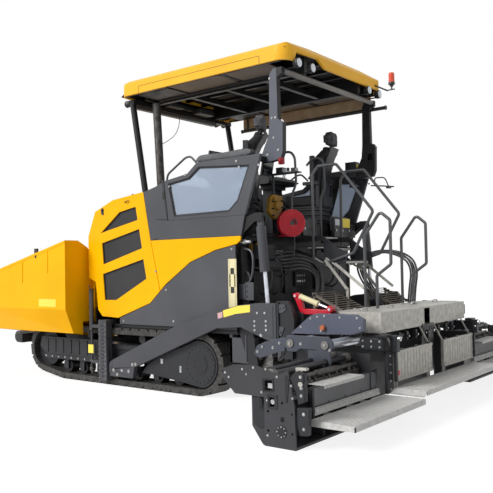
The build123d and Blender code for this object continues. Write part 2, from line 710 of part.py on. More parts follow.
# ---- push beam and rollers ----
ROLLER_X = 3360
ROLLER_Z = 470
PUSH_R = 90
ROLLER_IN = 80
ROLLER_OUT = 900
EYE_X = 3290
EYE_R = 20


def push_beam():
    shape = box(3168, 3240, -960, 960, 390, 530)
    for y in (-ROLLER_OUT - 35, -ROLLER_IN + 5, ROLLER_IN - 30, ROLLER_OUT + 10):
        ear = prism_xz([(3240, 400), (3390, 430), (3390, 510), (3240, 530)], y, y + 25)
        shape += ear - rod_y(ROLLER_X, ROLLER_Z, 25.5, y - 1, y + 26)
    eye = box(3240, 3330, -40, 40, 440, 475) - rod_z(EYE_X, 0, EYE_R, 439, 476)
    return shape + eye


def push_roller():
    return rod_y(ROLLER_X, ROLLER_Z, PUSH_R, ROLLER_IN, ROLLER_OUT) + rod_y(
        ROLLER_X, ROLLER_Z, 25, ROLLER_IN - 28, ROLLER_OUT + 32)


# ---- tow points ----
RAIL_X0 = 770
RAIL_X1 = 920
RAIL_LOW = 60
RAIL_HIGH = 840
RAIL_LIP = 24
SLOT_IN = ARM_IN + 19     # slot in the rail's rear lip and in the arm's end for the block's tongue
SLOT_OUT = ARM_IN + 41
LEVEL_X = 1112            # levelling cylinder beside the rail
LEVEL_Y = BODY_HALF + 45


def tow_rail():
    """Guide rails for the tow point, with the levelling cylinder in front."""
    back, web, lip = BODY_HALF + 1, BODY_HALF + 15, BODY_HALF + 85
    shape = box(RAIL_X0, RAIL_X1, back, web, RAIL_LOW, RAIL_HIGH)
    shape += box(RAIL_X0, RAIL_X1, lip, lip + 12, RAIL_LOW, RAIL_HIGH)
    for x in (RAIL_X0, RAIL_X1 - RAIL_LIP):
        shape += box(x, x + RAIL_LIP, web, lip, RAIL_LOW, RAIL_HIGH)
    shape += box(RAIL_X0, RAIL_X1, web, lip, RAIL_LOW, RAIL_LOW + 20)
    shape -= box(RAIL_X0 - 1, RAIL_X0 + RAIL_LIP + 1, SLOT_IN, SLOT_OUT, TOW_Z - 60, TOW_Z + 270)
    shape += box(RAIL_X0 + 20, RAIL_X1 - 20, back - 106, back, FENDER_Z + 20, RAIL_HIGH - 10)
    shape += rod_z(LEVEL_X, LEVEL_Y, 15, 250, 716) + rod_z(LEVEL_X, LEVEL_Y, 27, 716, 1200)
    for z in (270, 730):
        shape += box(RAIL_X1, LEVEL_X, LEVEL_Y - 20, LEVEL_Y + 20, z, z + 40)
    return shape


def tow_block():
    """Slide inside the rail, with a tongue out to the arm's pin."""
    y0, y1 = SLOT_IN + 1, SLOT_OUT - 1
    shape = box(RAIL_X0 + 30, RAIL_X1 - 30, BODY_HALF + 20, BODY_HALF + 80, TOW_Z - 90, TOW_Z + 90)
    shape += box(TOW_X, RAIL_X0 + 40, y0, y1, TOW_Z - 35, TOW_Z + 35)
    shape += rod_y(TOW_X, TOW_Z, 35, y0, y1)
    return shape + rod_y(TOW_X, TOW_Z, 20, ARM_IN, ARM_OUT)


# ---- tow arm ----
ARM_END = -1885
ARM = ((735, 130), (752, 180), (752, 280), (735, 310), (690, 335), (-410, 800), (-1370, 1070), (-1640, 1098),
       (ARM_END, 1100), (ARM_END, 706), (-1772, 706), (-1409, 831), (-1064, 807), (284, 269), (320, 130))


def tow_arm():
    shape = prism_xz(ARM, ARM_IN, ARM_OUT)
    shape -= rod_y(TOW_X, TOW_Z, 20.5, ARM_IN - 1, ARM_OUT + 1)
    return shape - box(TOW_X - 60, 760, SLOT_IN, SLOT_OUT, 120, 345)


# ---- lift cylinder ----
def lift_line():
    dx = LIFT_FOOT[0] - LIFT_TOP[0]
    dz = LIFT_FOOT[1] - LIFT_TOP[1]
    return hypot(dx, dz), atan2(-dx, -dz)


LIFT_LENGTH, LIFT_LEAN = lift_line()
BARREL_R = 54
BARREL_START = 100
BARREL_END = 600
ROD_START = 430
ROD_R = 22


def along_lift(shape):
    """Stand a piece drawn down from the origin on the cylinder's line."""
    lean = Rot(0, LIFT_LEAN * 180 / pi, 0)
    return Pos(LIFT_TOP[0], LIFT_Y, LIFT_TOP[1]) * lean * shape


def lift_barrel():
    shape = rod_z(0, 0, BARREL_R, -BARREL_END, -BARREL_START)
    shape -= rod_z(0, 0, ROD_R + 1, -BARREL_END - 1, -BARREL_START - 15)
    shape += box(-30, 30, -24, 24, -BARREL_START - 5, 0)
    shape += rod_y(0, 0, 32, -24, 24)
    shape -= rod_y(0, 0, 16.5, -30, 30)
    return along_lift(shape)


def lift_rod():
    shape = rod_z(0, 0, ROD_R, -LIFT_LENGTH, -ROD_START)
    shape += rod_y(0, -LIFT_LENGTH, 34, -20, 20)
    shape += rod_y(0, -LIFT_LENGTH, 17, 0, ARM_IN - GAP - LIFT_Y)
    return along_lift(shape)


# ---- rear frame ----
LIFT_EAR = ((REAR_X, 1720), (-1420, 1880), (-1555, 1985), (-1655, 1985), (-1655, 2080), (-1560, 2080),
            (-1440, 2040), (REAR_X, 1850))


def rear_frame():
    """Brackets for the lift cylinders, and the beam behind the deck."""
    half = BODY_HALF - 55
    shape = box(REAR_X - 60, REAR_X, -half, half, 1740, DECK_Z)
    for s in (-1, 1):
        for y in (LIFT_Y - 44, LIFT_Y + 26):
            shape += prism_xz(LIFT_EAR, *sorted((s * y, s * (y + 16))))
        shape += rod_y(LIFT_TOP[0], LIFT_TOP[1], 16, *sorted((s * (LIFT_Y - 44), s * (LIFT_Y + 42))))
    return shape


def screed_rail(y):
    pts = [(-2483, y, COVER_TOP), (-2483, y, 1800), (-2680, y, 2060), (-2796, y, 1965), (-2796, y, 1490),
           (-2625, y, 1370), (-2625, y, COVER_TOP)]
    return pipe(pts, 17, 40)


def platform_rail(y):
    pts = [(-1740, y, 1560), (-1740, y, 2560), (-1820, y, 2655), (-2070, y, 2655), (-2530, y, 2085),
           (-2270, y, 1625), (-1855, y, 1500)]
    return pipe(pts, 17, 45)


REEL_Y = 565
PUMP_IN = BODY_HALF - 555


def hose_reel():
    z = DECK_Z + 150
    shape = rod_x(REEL_Y, z, 160, -1660, -1560) + rod_x(REEL_Y, z, 40, -1560, DECK_BACK - 15)
    return shape + box(DECK_BACK - 15, DECK_BACK, REEL_Y - 140, REEL_Y + 180, DECK_Z, z + 155)


def pumps():
    y = PUMP_IN
    shape = box(REAR_X - 160, REAR_X - 61, y, y + 300, 1580, 1735)
    shape += rod_y(REAR_X - 120, 1500, 70, y - 80, y + 200)
    return shape + box(REAR_X - 130, REAR_X, y, y + 120, 1440, 1580)


# ---- augers ----
def auger_flight(y0, y1, r0, r1, pitch, thick):
    """Helical plate from flat triangles."""
    steps_per_turn = 16
    n = ceil((y1 - y0) / pitch * steps_per_turn)
    rings = []
    for i in range(n + 1):
        y = y0 + (y1 - y0) * i / n
        a = 2 * pi * (y - y0) / pitch
        ring = []
        for r, dy in ((r0, -thick / 2), (r1, -thick / 2), (r1, thick / 2), (r0, thick / 2)):
            ring.append((AUGER_X + r * cos(a), y + dy, AUGER_Z + r * sin(a)))
        rings.append(ring)
    faces = [Face(Wire.make_polygon(rings[0])), Face(Wire.make_polygon(rings[-1]))]
    for a, b in zip(rings, rings[1:]):
        for j in range(4):
            k = (j + 1) % 4
            faces.append(Face(Wire.make_polygon([a[j], a[k], b[k]])))
            faces.append(Face(Wire.make_polygon([a[j], b[k], b[j]])))
    return Solid(Shell(faces))


GEARBOX_HALF = 110
AUGER_IN = GEARBOX_HALF + GAP
AUGER_OUT = BODY_HALF - 75


def auger():
    shaft = rod_y(AUGER_X, AUGER_Z, AUGER_SHAFT_R, AUGER_IN, AUGER_OUT)
    flight = auger_flight(AUGER_IN + 20, AUGER_OUT - 30, AUGER_SHAFT_R + 0.7, AUGER_R, AUGER_PITCH, 16)
    return shaft, flight


def auger_frame():
    shape = box(AUGER_X - 100, AUGER_X + 100, -GEARBOX_HALF, GEARBOX_HALF, 300, 700)
    shape += box(AUGER_X + 20, REAR_X, -90, 90, 640, 800) + box(REAR_X - 14, REAR_X, -200, 200, 770, 1000)
    hanger = [(AUGER_X - 60, 360), (AUGER_X + 60, 360), (REAR_X, 780), (REAR_X, 960), (AUGER_X + 20, 800)]
    for s in (-1, 1):
        shape += prism_xz(hanger, *sorted((s * (AUGER_OUT + GAP), s * (AUGER_OUT + 25))))
    shape += box(REAR_X - 60, REAR_X, -AUGER_OUT - 25, AUGER_OUT + 25, 860, 920)
    return shape


# ---- screed ----
Slide = namedtuple("Slide", "x side")
SLIDES = (Slide(-2180, -1), Slide(-2330, 1), Slide(-2590, -1), Slide(-2720, 1))
TOP_BACK = -2790
SCREED_SIDE = ((-2067, 520), (-2067, 793), (-2310, 984), (-2380, 1007), (-2827, 1007), (-2917, 964),
               (-2917, 850), (TOP_BACK, 810), (-2440, 800), (-2440, 520))
ARM_POST = ((ARM_END, 493), (ARM_END, 1124), (-2016, 1127), (-2064, 1070), (-2100, 940), (-2100, 760),
            (-2010, 700), (-1960, 560))


def screed_base():
    shape = box(TOP_BACK, SCREED_FRONT, -ARM_IN, ARM_IN, SCREED_TOP, SCREED_TOP + 20)
    shape += box(SCREED_FRONT - 15, SCREED_FRONT, -SCREED_HALF, SCREED_HALF, 20, SCREED_TOP)
    shape += box(SCREED_BACK, SCREED_BACK + 15, -SCREED_HALF, SCREED_HALF, 20, SCREED_TOP)
    shape += box(SCREED_BACK, SCREED_FRONT, -SCREED_HALF, SCREED_HALF, 0, 20)
    end = [(SCREED_FRONT, 0), (SCREED_FRONT, SCREED_TOP), (TOP_BACK, SCREED_TOP), (TOP_BACK, 690),
           (SCREED_BACK, 690), (SCREED_BACK, 0)]
    for y in (-SCREED_HALF, -10, SCREED_HALF - 20):
        shape += prism_xz(end, y, y + 20)
    for slide in SLIDES:
        shape += rod_y(slide.x, TUBE_Z, SLEEVE_R, -SCREED_HALF, SCREED_HALF)
    for s in (-1, 1):
        shape += prism_xz(SCREED_SIDE, *sorted((s * ARM_IN, s * ARM_OUT)))
        shape += prism_xz(ARM_POST, *sorted((s * SCREED_HALF, s * (ARM_IN + 35))))
    for slide in SLIDES:
        shape -= rod_y(slide.x, TUBE_Z, TUBE_R + TUBE_CLEAR, -ARM_OUT - 1, ARM_OUT + 1)
    return shape


COVER_HALF = 1100
COVER_FRONT = -2440
COVER_BACK = -2990
COVER_HANGER = ((-2978, 825), (-3085, 640), (-3085, 345), (-3060, 345), (-3060, 640), (-2975, 800))


def screed_covers():
    """Upper cover box and the two hanging rear covers."""
    half = COVER_HALF
    shape = box(COVER_BACK, COVER_FRONT, -half, half, SCREED_TOP + 20, COVER_TOP)
    shape -= box(COVER_BACK + 12, COVER_FRONT - 12, 12 - half, half - 12, SCREED_TOP + 10, COVER_TOP - 12)
    shape -= box(-3000, -2970, -75, 75, SCREED_TOP, 1000)
    for s in (-1, 1):
        shape += box(-3105, -3085, *sorted((s * 160, s * 1030)), 345, 640)
        for y in (180, 1000):
            y0, y1 = sorted((s * y, s * (y + 12)))
            shape += prism_xz(COVER_HANGER, y0, y1)
    shape += box(COVER_BACK, TOP_BACK, -half, half, SCREED_TOP + 8, SCREED_TOP + 20)
    return shape


def screed_walkway():
    plate = box(-3430, -3086, -1050, 1050, WALK_TOP - 8, WALK_TOP)
    plate += box(-3430, -3422, -1050, 1050, WALK_TOP - 45, WALK_TOP - 8)
    for s in (-1, 1):
        flap = [(s * 1050, WALK_TOP - 8), (s * 1050, WALK_TOP), (s * 1130, WALK_TOP - 42),
                (s * 1122, WALK_TOP - 50)]
        plate += prism_yz(flap, -3430, -3086)
        for y in (200, 980):
            y0, y1 = sorted((s * y, s * (y + 12)))
            plate += box(-3092, -3060, y0, y1, WALK_TOP - 8, 345)
    return plate


# ---- screed extensions ----
END_PLATE = ((-2225, 611), (-2217, 531), (-2355, 404), (-2667, 404), (-2667, 0), (-2978, 0), (-2973, 335),
             (-2914, 640), (-2809, 600), (-2573, 664), (-2336, 649))
END_WINDOWS = (
    ((-2672, 456), (-2755, 462), (-2755, 550), (-2672, 544)),
    ((-2722, 328), (-2789, 334), (-2789, 416), (-2722, 411)),
)
END_HOLES = ((-2844, 134, 46), (-2852, 237, 22), (-2850, 373, 12))
SOLE_TOP = 22
NOSE = ((-2503, 140), (-2610, 0), (-2640, 0), (-2640, SOLE_TOP), (-2622, SOLE_TOP), (-2523, 150),
        (-2523, 400), (-2503, 400))
DEFLECTOR_TOP = 600
REAR_COVER_X = -2950
REAR_COVER_LOW = 290
REAR_COVER_TOP = 467
REAR_COVER_IN = 1135
REAR_COVER_OUT = 2335
RIBS_Y = (1450, 1700, 2100)
YOKE_IN = 1680            # plate that ties the tube ends together and rides on the guides
YOKE_OUT = YOKE_IN + 30
YOKE_R = 78
YOKE_WAIST = 45
GUIDES_X = (-2560, -2720)
GUIDE_Z = 590
GUIDE_R = 28
BOLT_X = -2825            # holes for bolt-on widening
BOLT_Z = 210
BOLT_STEP_X = 240
BOLT_STEP_Z = 160
BOLT_HOLE_R = 11


def end_plate():
    shape = prism_xz(END_PLATE, EXT_OUTER - PLATE, EXT_OUTER)
    for window in END_WINDOWS:
        shape -= prism_xz(window, EXT_OUTER - PLATE - 1, EXT_OUTER + 1)
    holes = list(END_HOLES)
    for x in (-BOLT_STEP_X / 2, BOLT_STEP_X / 2):
        for z in (-BOLT_STEP_Z / 2, BOLT_STEP_Z / 2):
            holes.append((BOLT_X + x, BOLT_Z + z, BOLT_HOLE_R))
    for x, z, r in holes:
        shape -= rod_y(x, z, r, EXT_OUTER - PLATE - 1, EXT_OUTER + 1)
    return shape


def tubes_of(side):
    """Places of one side's tubes along X, the front one first."""
    return [slide.x for slide in SLIDES if slide.side == side]


def yoke(side):
    """Waisted plate round both tube ends, with bores for the guides."""
    front, rear = tubes_of(side)
    z, r = TUBE_Z, YOKE_R
    points = [(front + r, z - 30), (front + r, z + 30), (front + 30, z + r), (rear - 30, z + r),
              (rear - r, z + 30), (rear - r, z - 30), (rear - 30, z - r), (rear + 60, z - r),
              (rear + 110, z - YOKE_WAIST), (front - 110, z - YOKE_WAIST), (front - 60, z - r), (front + 30, z - r)]
    shape = prism_xz(points, YOKE_IN, YOKE_OUT)
    shape += box(GUIDES_X[1] - 50, GUIDES_X[0] + 32, YOKE_IN, YOKE_OUT, GUIDE_Z - 42, z - r + 20)
    for x in GUIDES_X:
        shape -= rod_y(x, GUIDE_Z, GUIDE_R + TUBE_CLEAR, YOKE_IN - 1, YOKE_OUT + 1)
    return shape


def extension():
    """End plate, sole plate with its nose, beam, rear cover and the two guides."""
    back = EXT_OUTER - PLATE
    shape = end_plate()
    shape += box(-2978, -2640, EXT_INNER, back, 0, SOLE_TOP)
    shape += prism_xz(NOSE, EXT_INNER, EXT_OUTER - 45)
    shape += prism_xz([(-2503, 140), (-2610, 0), (-2680, 0), (-2680, 404), (-2503, 404)],
                      EXT_OUTER - 57, EXT_OUTER - 45)
    shape += box(-2680, -2660, EXT_OUTER - 57, back, SOLE_TOP, 404)
    shape += box(-2940, -2503, EXT_INNER, back, 400, 430)
    shape += box(-2523, -2503, EXT_INNER, back, 430, DEFLECTOR_TOP)
    shape += box(-2780, -2760, EXT_INNER, back, SOLE_TOP, 400)
    cover = REAR_COVER_X + 12
    shape += box(REAR_COVER_X, cover, REAR_COVER_IN, REAR_COVER_OUT, REAR_COVER_LOW, REAR_COVER_TOP)
    shape += box(-2960, -2503, EXT_INNER, EXT_INNER + PLATE, SOLE_TOP, GUIDE_Z + 45)
    for x in GUIDES_X:
        shape += rod_y(x, GUIDE_Z, GUIDE_R, EXT_INNER + 1, back + 1)
    for y in RIBS_Y:
        shape += box(cover, -2770, y, y + 12, SOLE_TOP, 400)
    return shape


def extension_tubes(side):
    shape = None
    for x in tubes_of(side):
        tube = rod_y(x, TUBE_Z, TUBE_R, *sorted((side * 20, side * YOKE_IN)))
        shape = tube if shape is None else shape + tube
    return shape


def extension_walkway():
    shape = box(-3450, -3030, 1140, 2470, EXT_WALK_TOP - 8, EXT_WALK_TOP)
    shape += box(-3450, -3442, 1140, 2470, EXT_WALK_TOP - 50, EXT_WALK_TOP)
    for y in RIBS_Y:
        shape += box(-3040, REAR_COVER_X + 12, y, y + 12, EXT_WALK_TOP - 50, EXT_WALK_TOP - 8)
    return shape


# ---- assembly ----
def build():
    keep_sides("track", track())
    keep_sides("track_frame", track_frame())
    keep("main_frame", main_frame())
    keep("engine_block", engine_block())
    keep_pair("conveyors", conveyor())
    keep_sides("door", grille_door())
    keep("hood", hood())
    keep("cowl", cowl())
    keep_pair("side_panels", side_panel())
    keep_pair("lower_panels", lower_panel())
    keep_pair("cab_sides", cab_side())
    keep_pair("cab_glass", cab_glass())
    keep_pair("cab_caps", cab_cap())
    keep("platform", platform())
    keep("steps", steps())
    for s in (1, -1):
        keep("seat_bases", seat_base(s))
        keep("seat_cushions", seat_cushion(s), seat_back(s))
    keep("consoles", console())
    keep("rear_panel", rear_panel())
    keep("canopy_frame", canopy_frame())
    keep("canopy_roof", canopy_roof())
    keep_pair("awnings", soffit())
    keep("awnings", side_screen())
    keep_pair("lamps", front_lamp())
    for at in REAR_LAMPS:
        keep_pair("lamps", rear_lamp(at))
    keep("beacon", beacon())
    keep("exhaust_stack", exhaust())
    keep_sides("hopper_wing", hopper_wing())
    keep("hopper_floor", hopper_floor())
    keep("push_beam", push_beam())
    keep_sides("push_roller", push_roller())
    keep_pair("tow_rails", tow_rail())
    keep_pair("tow_blocks", tow_block())
    keep_pair("tow_arms", tow_arm())
    keep_sides("lift_cylinder", lift_barrel())
    keep_sides("lift_rod", lift_rod())
    keep("rear_frame", rear_frame())
    keep_pair("platform_rails", platform_rail(STAIR_HALF + 12 + 17 + GAP))
    keep_pair("screed_rails", screed_rail(460))
    keep("hose_reel", hose_reel())
    keep("pumps", pumps())
    for piece in auger():
        keep("auger_left", piece)
        keep("auger_right", other_side(piece))
    keep("auger_frame", auger_frame())
    keep("screed_base", screed_base())
    keep("screed_covers", screed_covers())
    keep("screed_walkway", screed_walkway())
    keep_sides("extension", extension())
    keep("yoke_left", yoke(1))
    keep("yoke_right", other_side(yoke(-1)))
    keep("extension_tubes_left", extension_tubes(1))
    keep("extension_tubes_right", extension_tubes(-1))
    keep_sides("extension_walkway", extension_walkway())


def write():
    os.makedirs("parts", exist_ok=True)
    for name, shapes in NODES.items():
        solids = []
        for shape in shapes:
            solids.extend(shape.solids())
        export_step(Compound(solids), f"parts/{name}.step")


build()
write()
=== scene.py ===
import bpy
from math import cos, pi, radians, sin
from mathutils import Matrix, Vector

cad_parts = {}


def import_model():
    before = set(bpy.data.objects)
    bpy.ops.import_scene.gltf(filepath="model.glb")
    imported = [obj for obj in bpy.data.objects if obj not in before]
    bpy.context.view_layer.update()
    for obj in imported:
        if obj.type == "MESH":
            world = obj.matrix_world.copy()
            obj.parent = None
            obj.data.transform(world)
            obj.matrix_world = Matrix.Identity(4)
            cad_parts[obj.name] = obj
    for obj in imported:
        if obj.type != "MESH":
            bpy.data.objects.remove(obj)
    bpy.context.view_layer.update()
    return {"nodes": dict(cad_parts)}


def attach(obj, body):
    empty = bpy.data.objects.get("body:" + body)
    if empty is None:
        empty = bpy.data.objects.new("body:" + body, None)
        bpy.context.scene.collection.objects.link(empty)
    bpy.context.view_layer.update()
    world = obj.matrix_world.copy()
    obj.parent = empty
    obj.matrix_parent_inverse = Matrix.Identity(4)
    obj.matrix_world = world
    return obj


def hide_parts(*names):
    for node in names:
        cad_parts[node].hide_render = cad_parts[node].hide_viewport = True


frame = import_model()
NODES = frame["nodes"]
SCENE = bpy.context.scene
MM = 0.001
SHARP_ANGLE = 40          # degrees between faces that are shaded apart
BEVEL_ANGLE = 35          # degrees from which an edge is rounded
ARC_STEPS = 6             # pieces in each rounded corner of a bar


# ---- materials ----
def linear(rgb):
    out = []
    for c in rgb:
        c /= 255
        out.append(c / 12.92 if c <= 0.04045 else ((c + 0.055) / 1.055) ** 2.4)
    return (*out, 1.0)


def shade(rgb, by):
    return tuple(max(0, min(255, c * by)) for c in rgb)


class Finish:
    """A Principled surface with object coordinates ready for its textures."""

    def __init__(self, name, rgb, rough=0.5, metal=0.0, coat=0.0, spec=0.5):
        self.mat = bpy.data.materials.new(name)
        self.mat.use_nodes = True
        self.nodes = self.mat.node_tree.nodes
        self.links = self.mat.node_tree.links
        self.bsdf = self.nodes["Principled BSDF"]
        self.rgb = rgb
        self.set("Base Color", linear(rgb))
        self.set("Roughness", rough)
        self.set("Metallic", metal)
        self.set("Coat Weight", coat)
        self.set("Specular IOR Level", spec)
        self.coords = self.nodes.new("ShaderNodeTexCoord").outputs["Object"]

    def set(self, socket, value):
        self.bsdf.inputs[socket].default_value = value

    def noise(self, scale, detail=3.0):
        n = self.nodes.new("ShaderNodeTexNoise")
        n.inputs["Scale"].default_value = scale
        n.inputs["Detail"].default_value = detail
        self.links.new(self.coords, n.inputs["Vector"])
        return n.outputs["Fac"]

    def spread(self, source, low, high):
        r = self.nodes.new("ShaderNodeMapRange")
        r.inputs["From Min"].default_value = 0.3
        r.inputs["From Max"].default_value = 0.7
        r.inputs["To Min"].default_value = low
        r.inputs["To Max"].default_value = high
        self.links.new(source, r.inputs["Value"])
        return r.outputs["Result"]

    def mottle(self, scale, darker):
        """Colour that wanders between its own shade and a darker one."""
        m = self.nodes.new("ShaderNodeMix")
        m.data_type = "RGBA"
        m.inputs["A"].default_value = linear(darker)
        m.inputs["B"].default_value = linear(self.rgb)
        self.links.new(self.spread(self.noise(scale), 0.0, 1.0), m.inputs["Factor"])
        self.links.new(m.outputs["Result"], self.bsdf.inputs["Base Color"])
        return self

    def wear(self, scale, low, high):
        self.links.new(self.spread(self.noise(scale), low, high), self.bsdf.inputs["Roughness"])
        return self

    def grain(self, scale, strength):
        """Fine unevenness, two millimetres deep at full strength."""
        b = self.nodes.new("ShaderNodeBump")
        b.inputs["Strength"].default_value = strength
        b.inputs["Distance"].default_value = 0.002
        self.links.new(self.noise(scale, 2.0), b.inputs["Height"])
        self.links.new(b.outputs["Normal"], self.bsdf.inputs["Normal"])
        return self


def paint(name, rgb, rough=0.38, coat=0.25, spread=0.9, spec=0.3):
    return Finish(name, rgb, rough, coat=coat, spec=spec).mottle(1.7, shade(rgb, spread)).wear(9.0,
        rough - 0.05, rough + 0.08).grain(420.0, 0.05).mat


YELLOW = paint("paint_yellow", (252, 184, 0), 0.36, 0.06, 0.95, 0.12)
ROOF = paint("roof_shell", (250, 188, 52), 0.42, 0.05, 0.95, 0.15)
PANEL_GREY = paint("paint_grey", (78, 79, 84), 0.42, 0.05, 0.88)
END_BLACK = paint("paint_end", (62, 62, 66), 0.45, 0.05, 0.8)
ARM_GREY = paint("paint_arm", (74, 75, 80), 0.45, 0.05, 0.85)
BLACK = paint("paint_black", (40, 41, 45), 0.45, 0.1, 0.75)
RAIL_GREY = paint("paint_rail", (84, 85, 88), 0.42, 0.1, 0.9)
RED = paint("paint_red", (205, 22, 45), 0.35, 0.3, 0.9)
CREAM = paint("paint_cream", (232, 222, 178), 0.5, 0.0, 0.9)
OCHRE = paint("paint_ochre", (150, 112, 30), 0.5, 0.0, 0.8)
PINK = paint("plate_pink", (214, 170, 172), 0.5, 0.0, 0.97)
TAG_YELLOW = paint("plate_yellow", (250, 226, 90), 0.5, 0.0, 0.97)
LIGHT_PLASTIC = Finish("panel_light", (205, 208, 214), 0.5).mottle(3.0, (190, 194, 200)).mat
STEEL = Finish("steel_dark", (98, 96, 94), 0.5, 0.75).mottle(14.0, (58, 56, 54)).grain(160.0, 0.3).mat
TRACK_STEEL = Finish("steel_track", (78, 76, 74), 0.6, 0.45).mottle(22.0, (44, 43, 42)).grain(120.0,
    0.4).mat
ZINC = Finish("zinc_bolt", (205, 205, 205), 0.35, 0.8).mottle(30.0, (150, 150, 150)).mat
CHROME = Finish("chrome_rod", (226, 229, 236), 0.3, 0.75).mottle(9.0, (196, 200, 210)).grain(90.0, 0.1).mat
GALVANISED = Finish("sheet_galvanised", (192, 189, 182), 0.5, 0.35).mottle(18.0,
    (160, 157, 150)).grain(200.0, 0.1).mat
# pale blue-grey pane with slow changes of tone: painted reflection of the sky
PANE = Finish("pane_painted_reflection", (186, 198, 214), 0.22, coat=0.3).mottle(0.8, (170, 184, 204))
PANE.set("Transmission Weight", 0.45)
PANE.set("IOR", 1.15)
GLASS = PANE.mat
# black rubber, also used as painted shade in holes and gaps
BLACK_RUBBER_AND_SHADE = Finish("rubber_black_and_shade", (30, 30, 32), 0.6).grain(300.0, 0.2).mat
PAD_GREY = Finish("pad_grey", (96, 97, 99), 0.75).mottle(6.0, (76, 77, 80)).grain(260.0, 0.4).mat
FABRIC = Finish("seat_cloth", (42, 42, 44), 0.85).mottle(40.0, (26, 26, 28)).grain(500.0, 0.6).mat
PLASTIC = Finish("plastic_black", (38, 39, 42), 0.5).grain(350.0, 0.2).mat
AWNING = Finish("awning_cloth", (168, 146, 118), 0.85).mottle(8.0, (148, 126, 100)).grain(400.0, 0.3).mat
CLEAR = Finish("lamp_front", (225, 230, 235), 0.15, coat=0.6).mottle(40.0, (205, 212, 220)).mat
BEACON = Finish("beacon_dome", (228, 82, 40), 0.25, coat=0.4).mottle(30.0, (206, 66, 30)).mat
ORANGE = Finish("knob_orange", (198, 112, 74), 0.5).mottle(40.0, (176, 92, 60)).mat
# colour of the door's mesh wires and of the dark sheet behind them, which is painted shade
MESH = Finish("screen_mesh_and_shade", (72, 72, 74), 0.6, 0.2).mottle(1.2, (52, 52, 54)).mat
# raised tread, painted lighter than the plate: a painted glint on the raised metal
TREAD_RAISED_GLINT = Finish("tread_raised_glint", (244, 244, 242), 0.4, 0.1).mottle(40.0, (222, 222, 220)).mat
TREAD = Finish("tread_plate", (203, 202, 200), 0.45, 0.08).mottle(26.0, (178, 177, 174)).grain(180.0,
    0.15).mat
HEAD_CLOTH = Finish("head_cloth", (92, 92, 96), 0.8).mottle(30.0, (52, 52, 56)).grain(400.0, 0.5).mat
SCREEN_GLASS = Finish("screen_glass", (30, 36, 46), 0.12, coat=0.6).mottle(2.0, (18, 22, 30)).mat
DECK_BROWN = Finish("deck_bars", (128, 120, 110), 0.6, 0.2).mottle(12.0, (84, 78, 72)).grain(160.0, 0.3).mat
SCREED_BLUE = paint("paint_blue_grey", (88, 92, 108), 0.42, 0.1, 0.9)
YOKE_GREY = paint("paint_yoke", (74, 77, 88), 0.42, 0.1, 0.9)
PANEL_LIGHT = paint("paint_panel_light", (122, 123, 126), 0.45, 0.05, 0.9)
SEAM = Finish("seam_dark", (96, 62, 14), 0.6).mottle(4.0, (70, 44, 8)).mat
SOFFIT = Finish("soffit_board", (122, 112, 102), 0.7).mottle(3.0, (104, 96, 88)).grain(200.0, 0.1).mat
POST_GREY = paint("paint_post", (86, 89, 99), 0.42, 0.1, 0.92)
BAR_GREY = paint("paint_bar", (132, 128, 124), 0.45, 0.1, 0.85)
HOSE = Finish("hose_rubber", (92, 92, 96), 0.34).mottle(6.0, (60, 60, 64)).grain(300.0, 0.15).mat
RED_DARK = paint("hose_red", (150, 10, 26), 0.45, 0.1, 0.85)
BLACK_DEEP = paint("frame_black", (22, 22, 25), 0.5, 0.05, 0.7)
ROOF_UNDER = Finish("roof_lining", (34, 31, 28), 0.85).mottle(5.0, (22, 20, 18)).mat

NODE_FINISH = {
    TRACK_STEEL: "track_left track_right",
    BLACK: "track_frame_left track_frame_right hopper_floor push_beam pumps auger_frame screed_base",
    BLACK_DEEP: "main_frame platform canopy_frame rear_frame",
    STEEL: "engine_block conveyors exhaust_stack push_roller_left push_roller_right tow_blocks "
           "auger_left auger_right",
    YELLOW: "door_left door_right hood side_panels hopper_wing_left hopper_wing_right",
    PANEL_GREY: "cowl lower_panels cab_sides",
    GLASS: "cab_glass",
    PAD_GREY: "cab_caps",
    RAIL_GREY: "steps platform_rails screed_rails",
    PLASTIC: "seat_bases consoles rear_panel lamps",
    FABRIC: "seat_cushions",
    ROOF: "canopy_roof",
    AWNING: "awnings",
    BEACON: "beacon",
    ARM_GREY: "tow_rails tow_arms lift_cylinder_left lift_cylinder_right",
    CHROME: "lift_rod_left lift_rod_right extension_tubes_left extension_tubes_right",
    RED: "hose_reel",
    GALVANISED: "screed_covers",
    TREAD: "screed_walkway extension_walkway_left extension_walkway_right",
    END_BLACK: "extension_left extension_right",
    YOKE_GREY: "yoke_left yoke_right",
}
for finish, nodes in NODE_FINISH.items():
    for node in nodes.split():
        data = NODES[node].data
        data.materials.clear()
        data.materials.append(finish)


# ---- mesh pieces, in millimetres ----
def linked(name, data):
    """A new object in the scene."""
    obj = bpy.data.objects.new(name, data)
    SCENE.collection.objects.link(obj)
    return obj


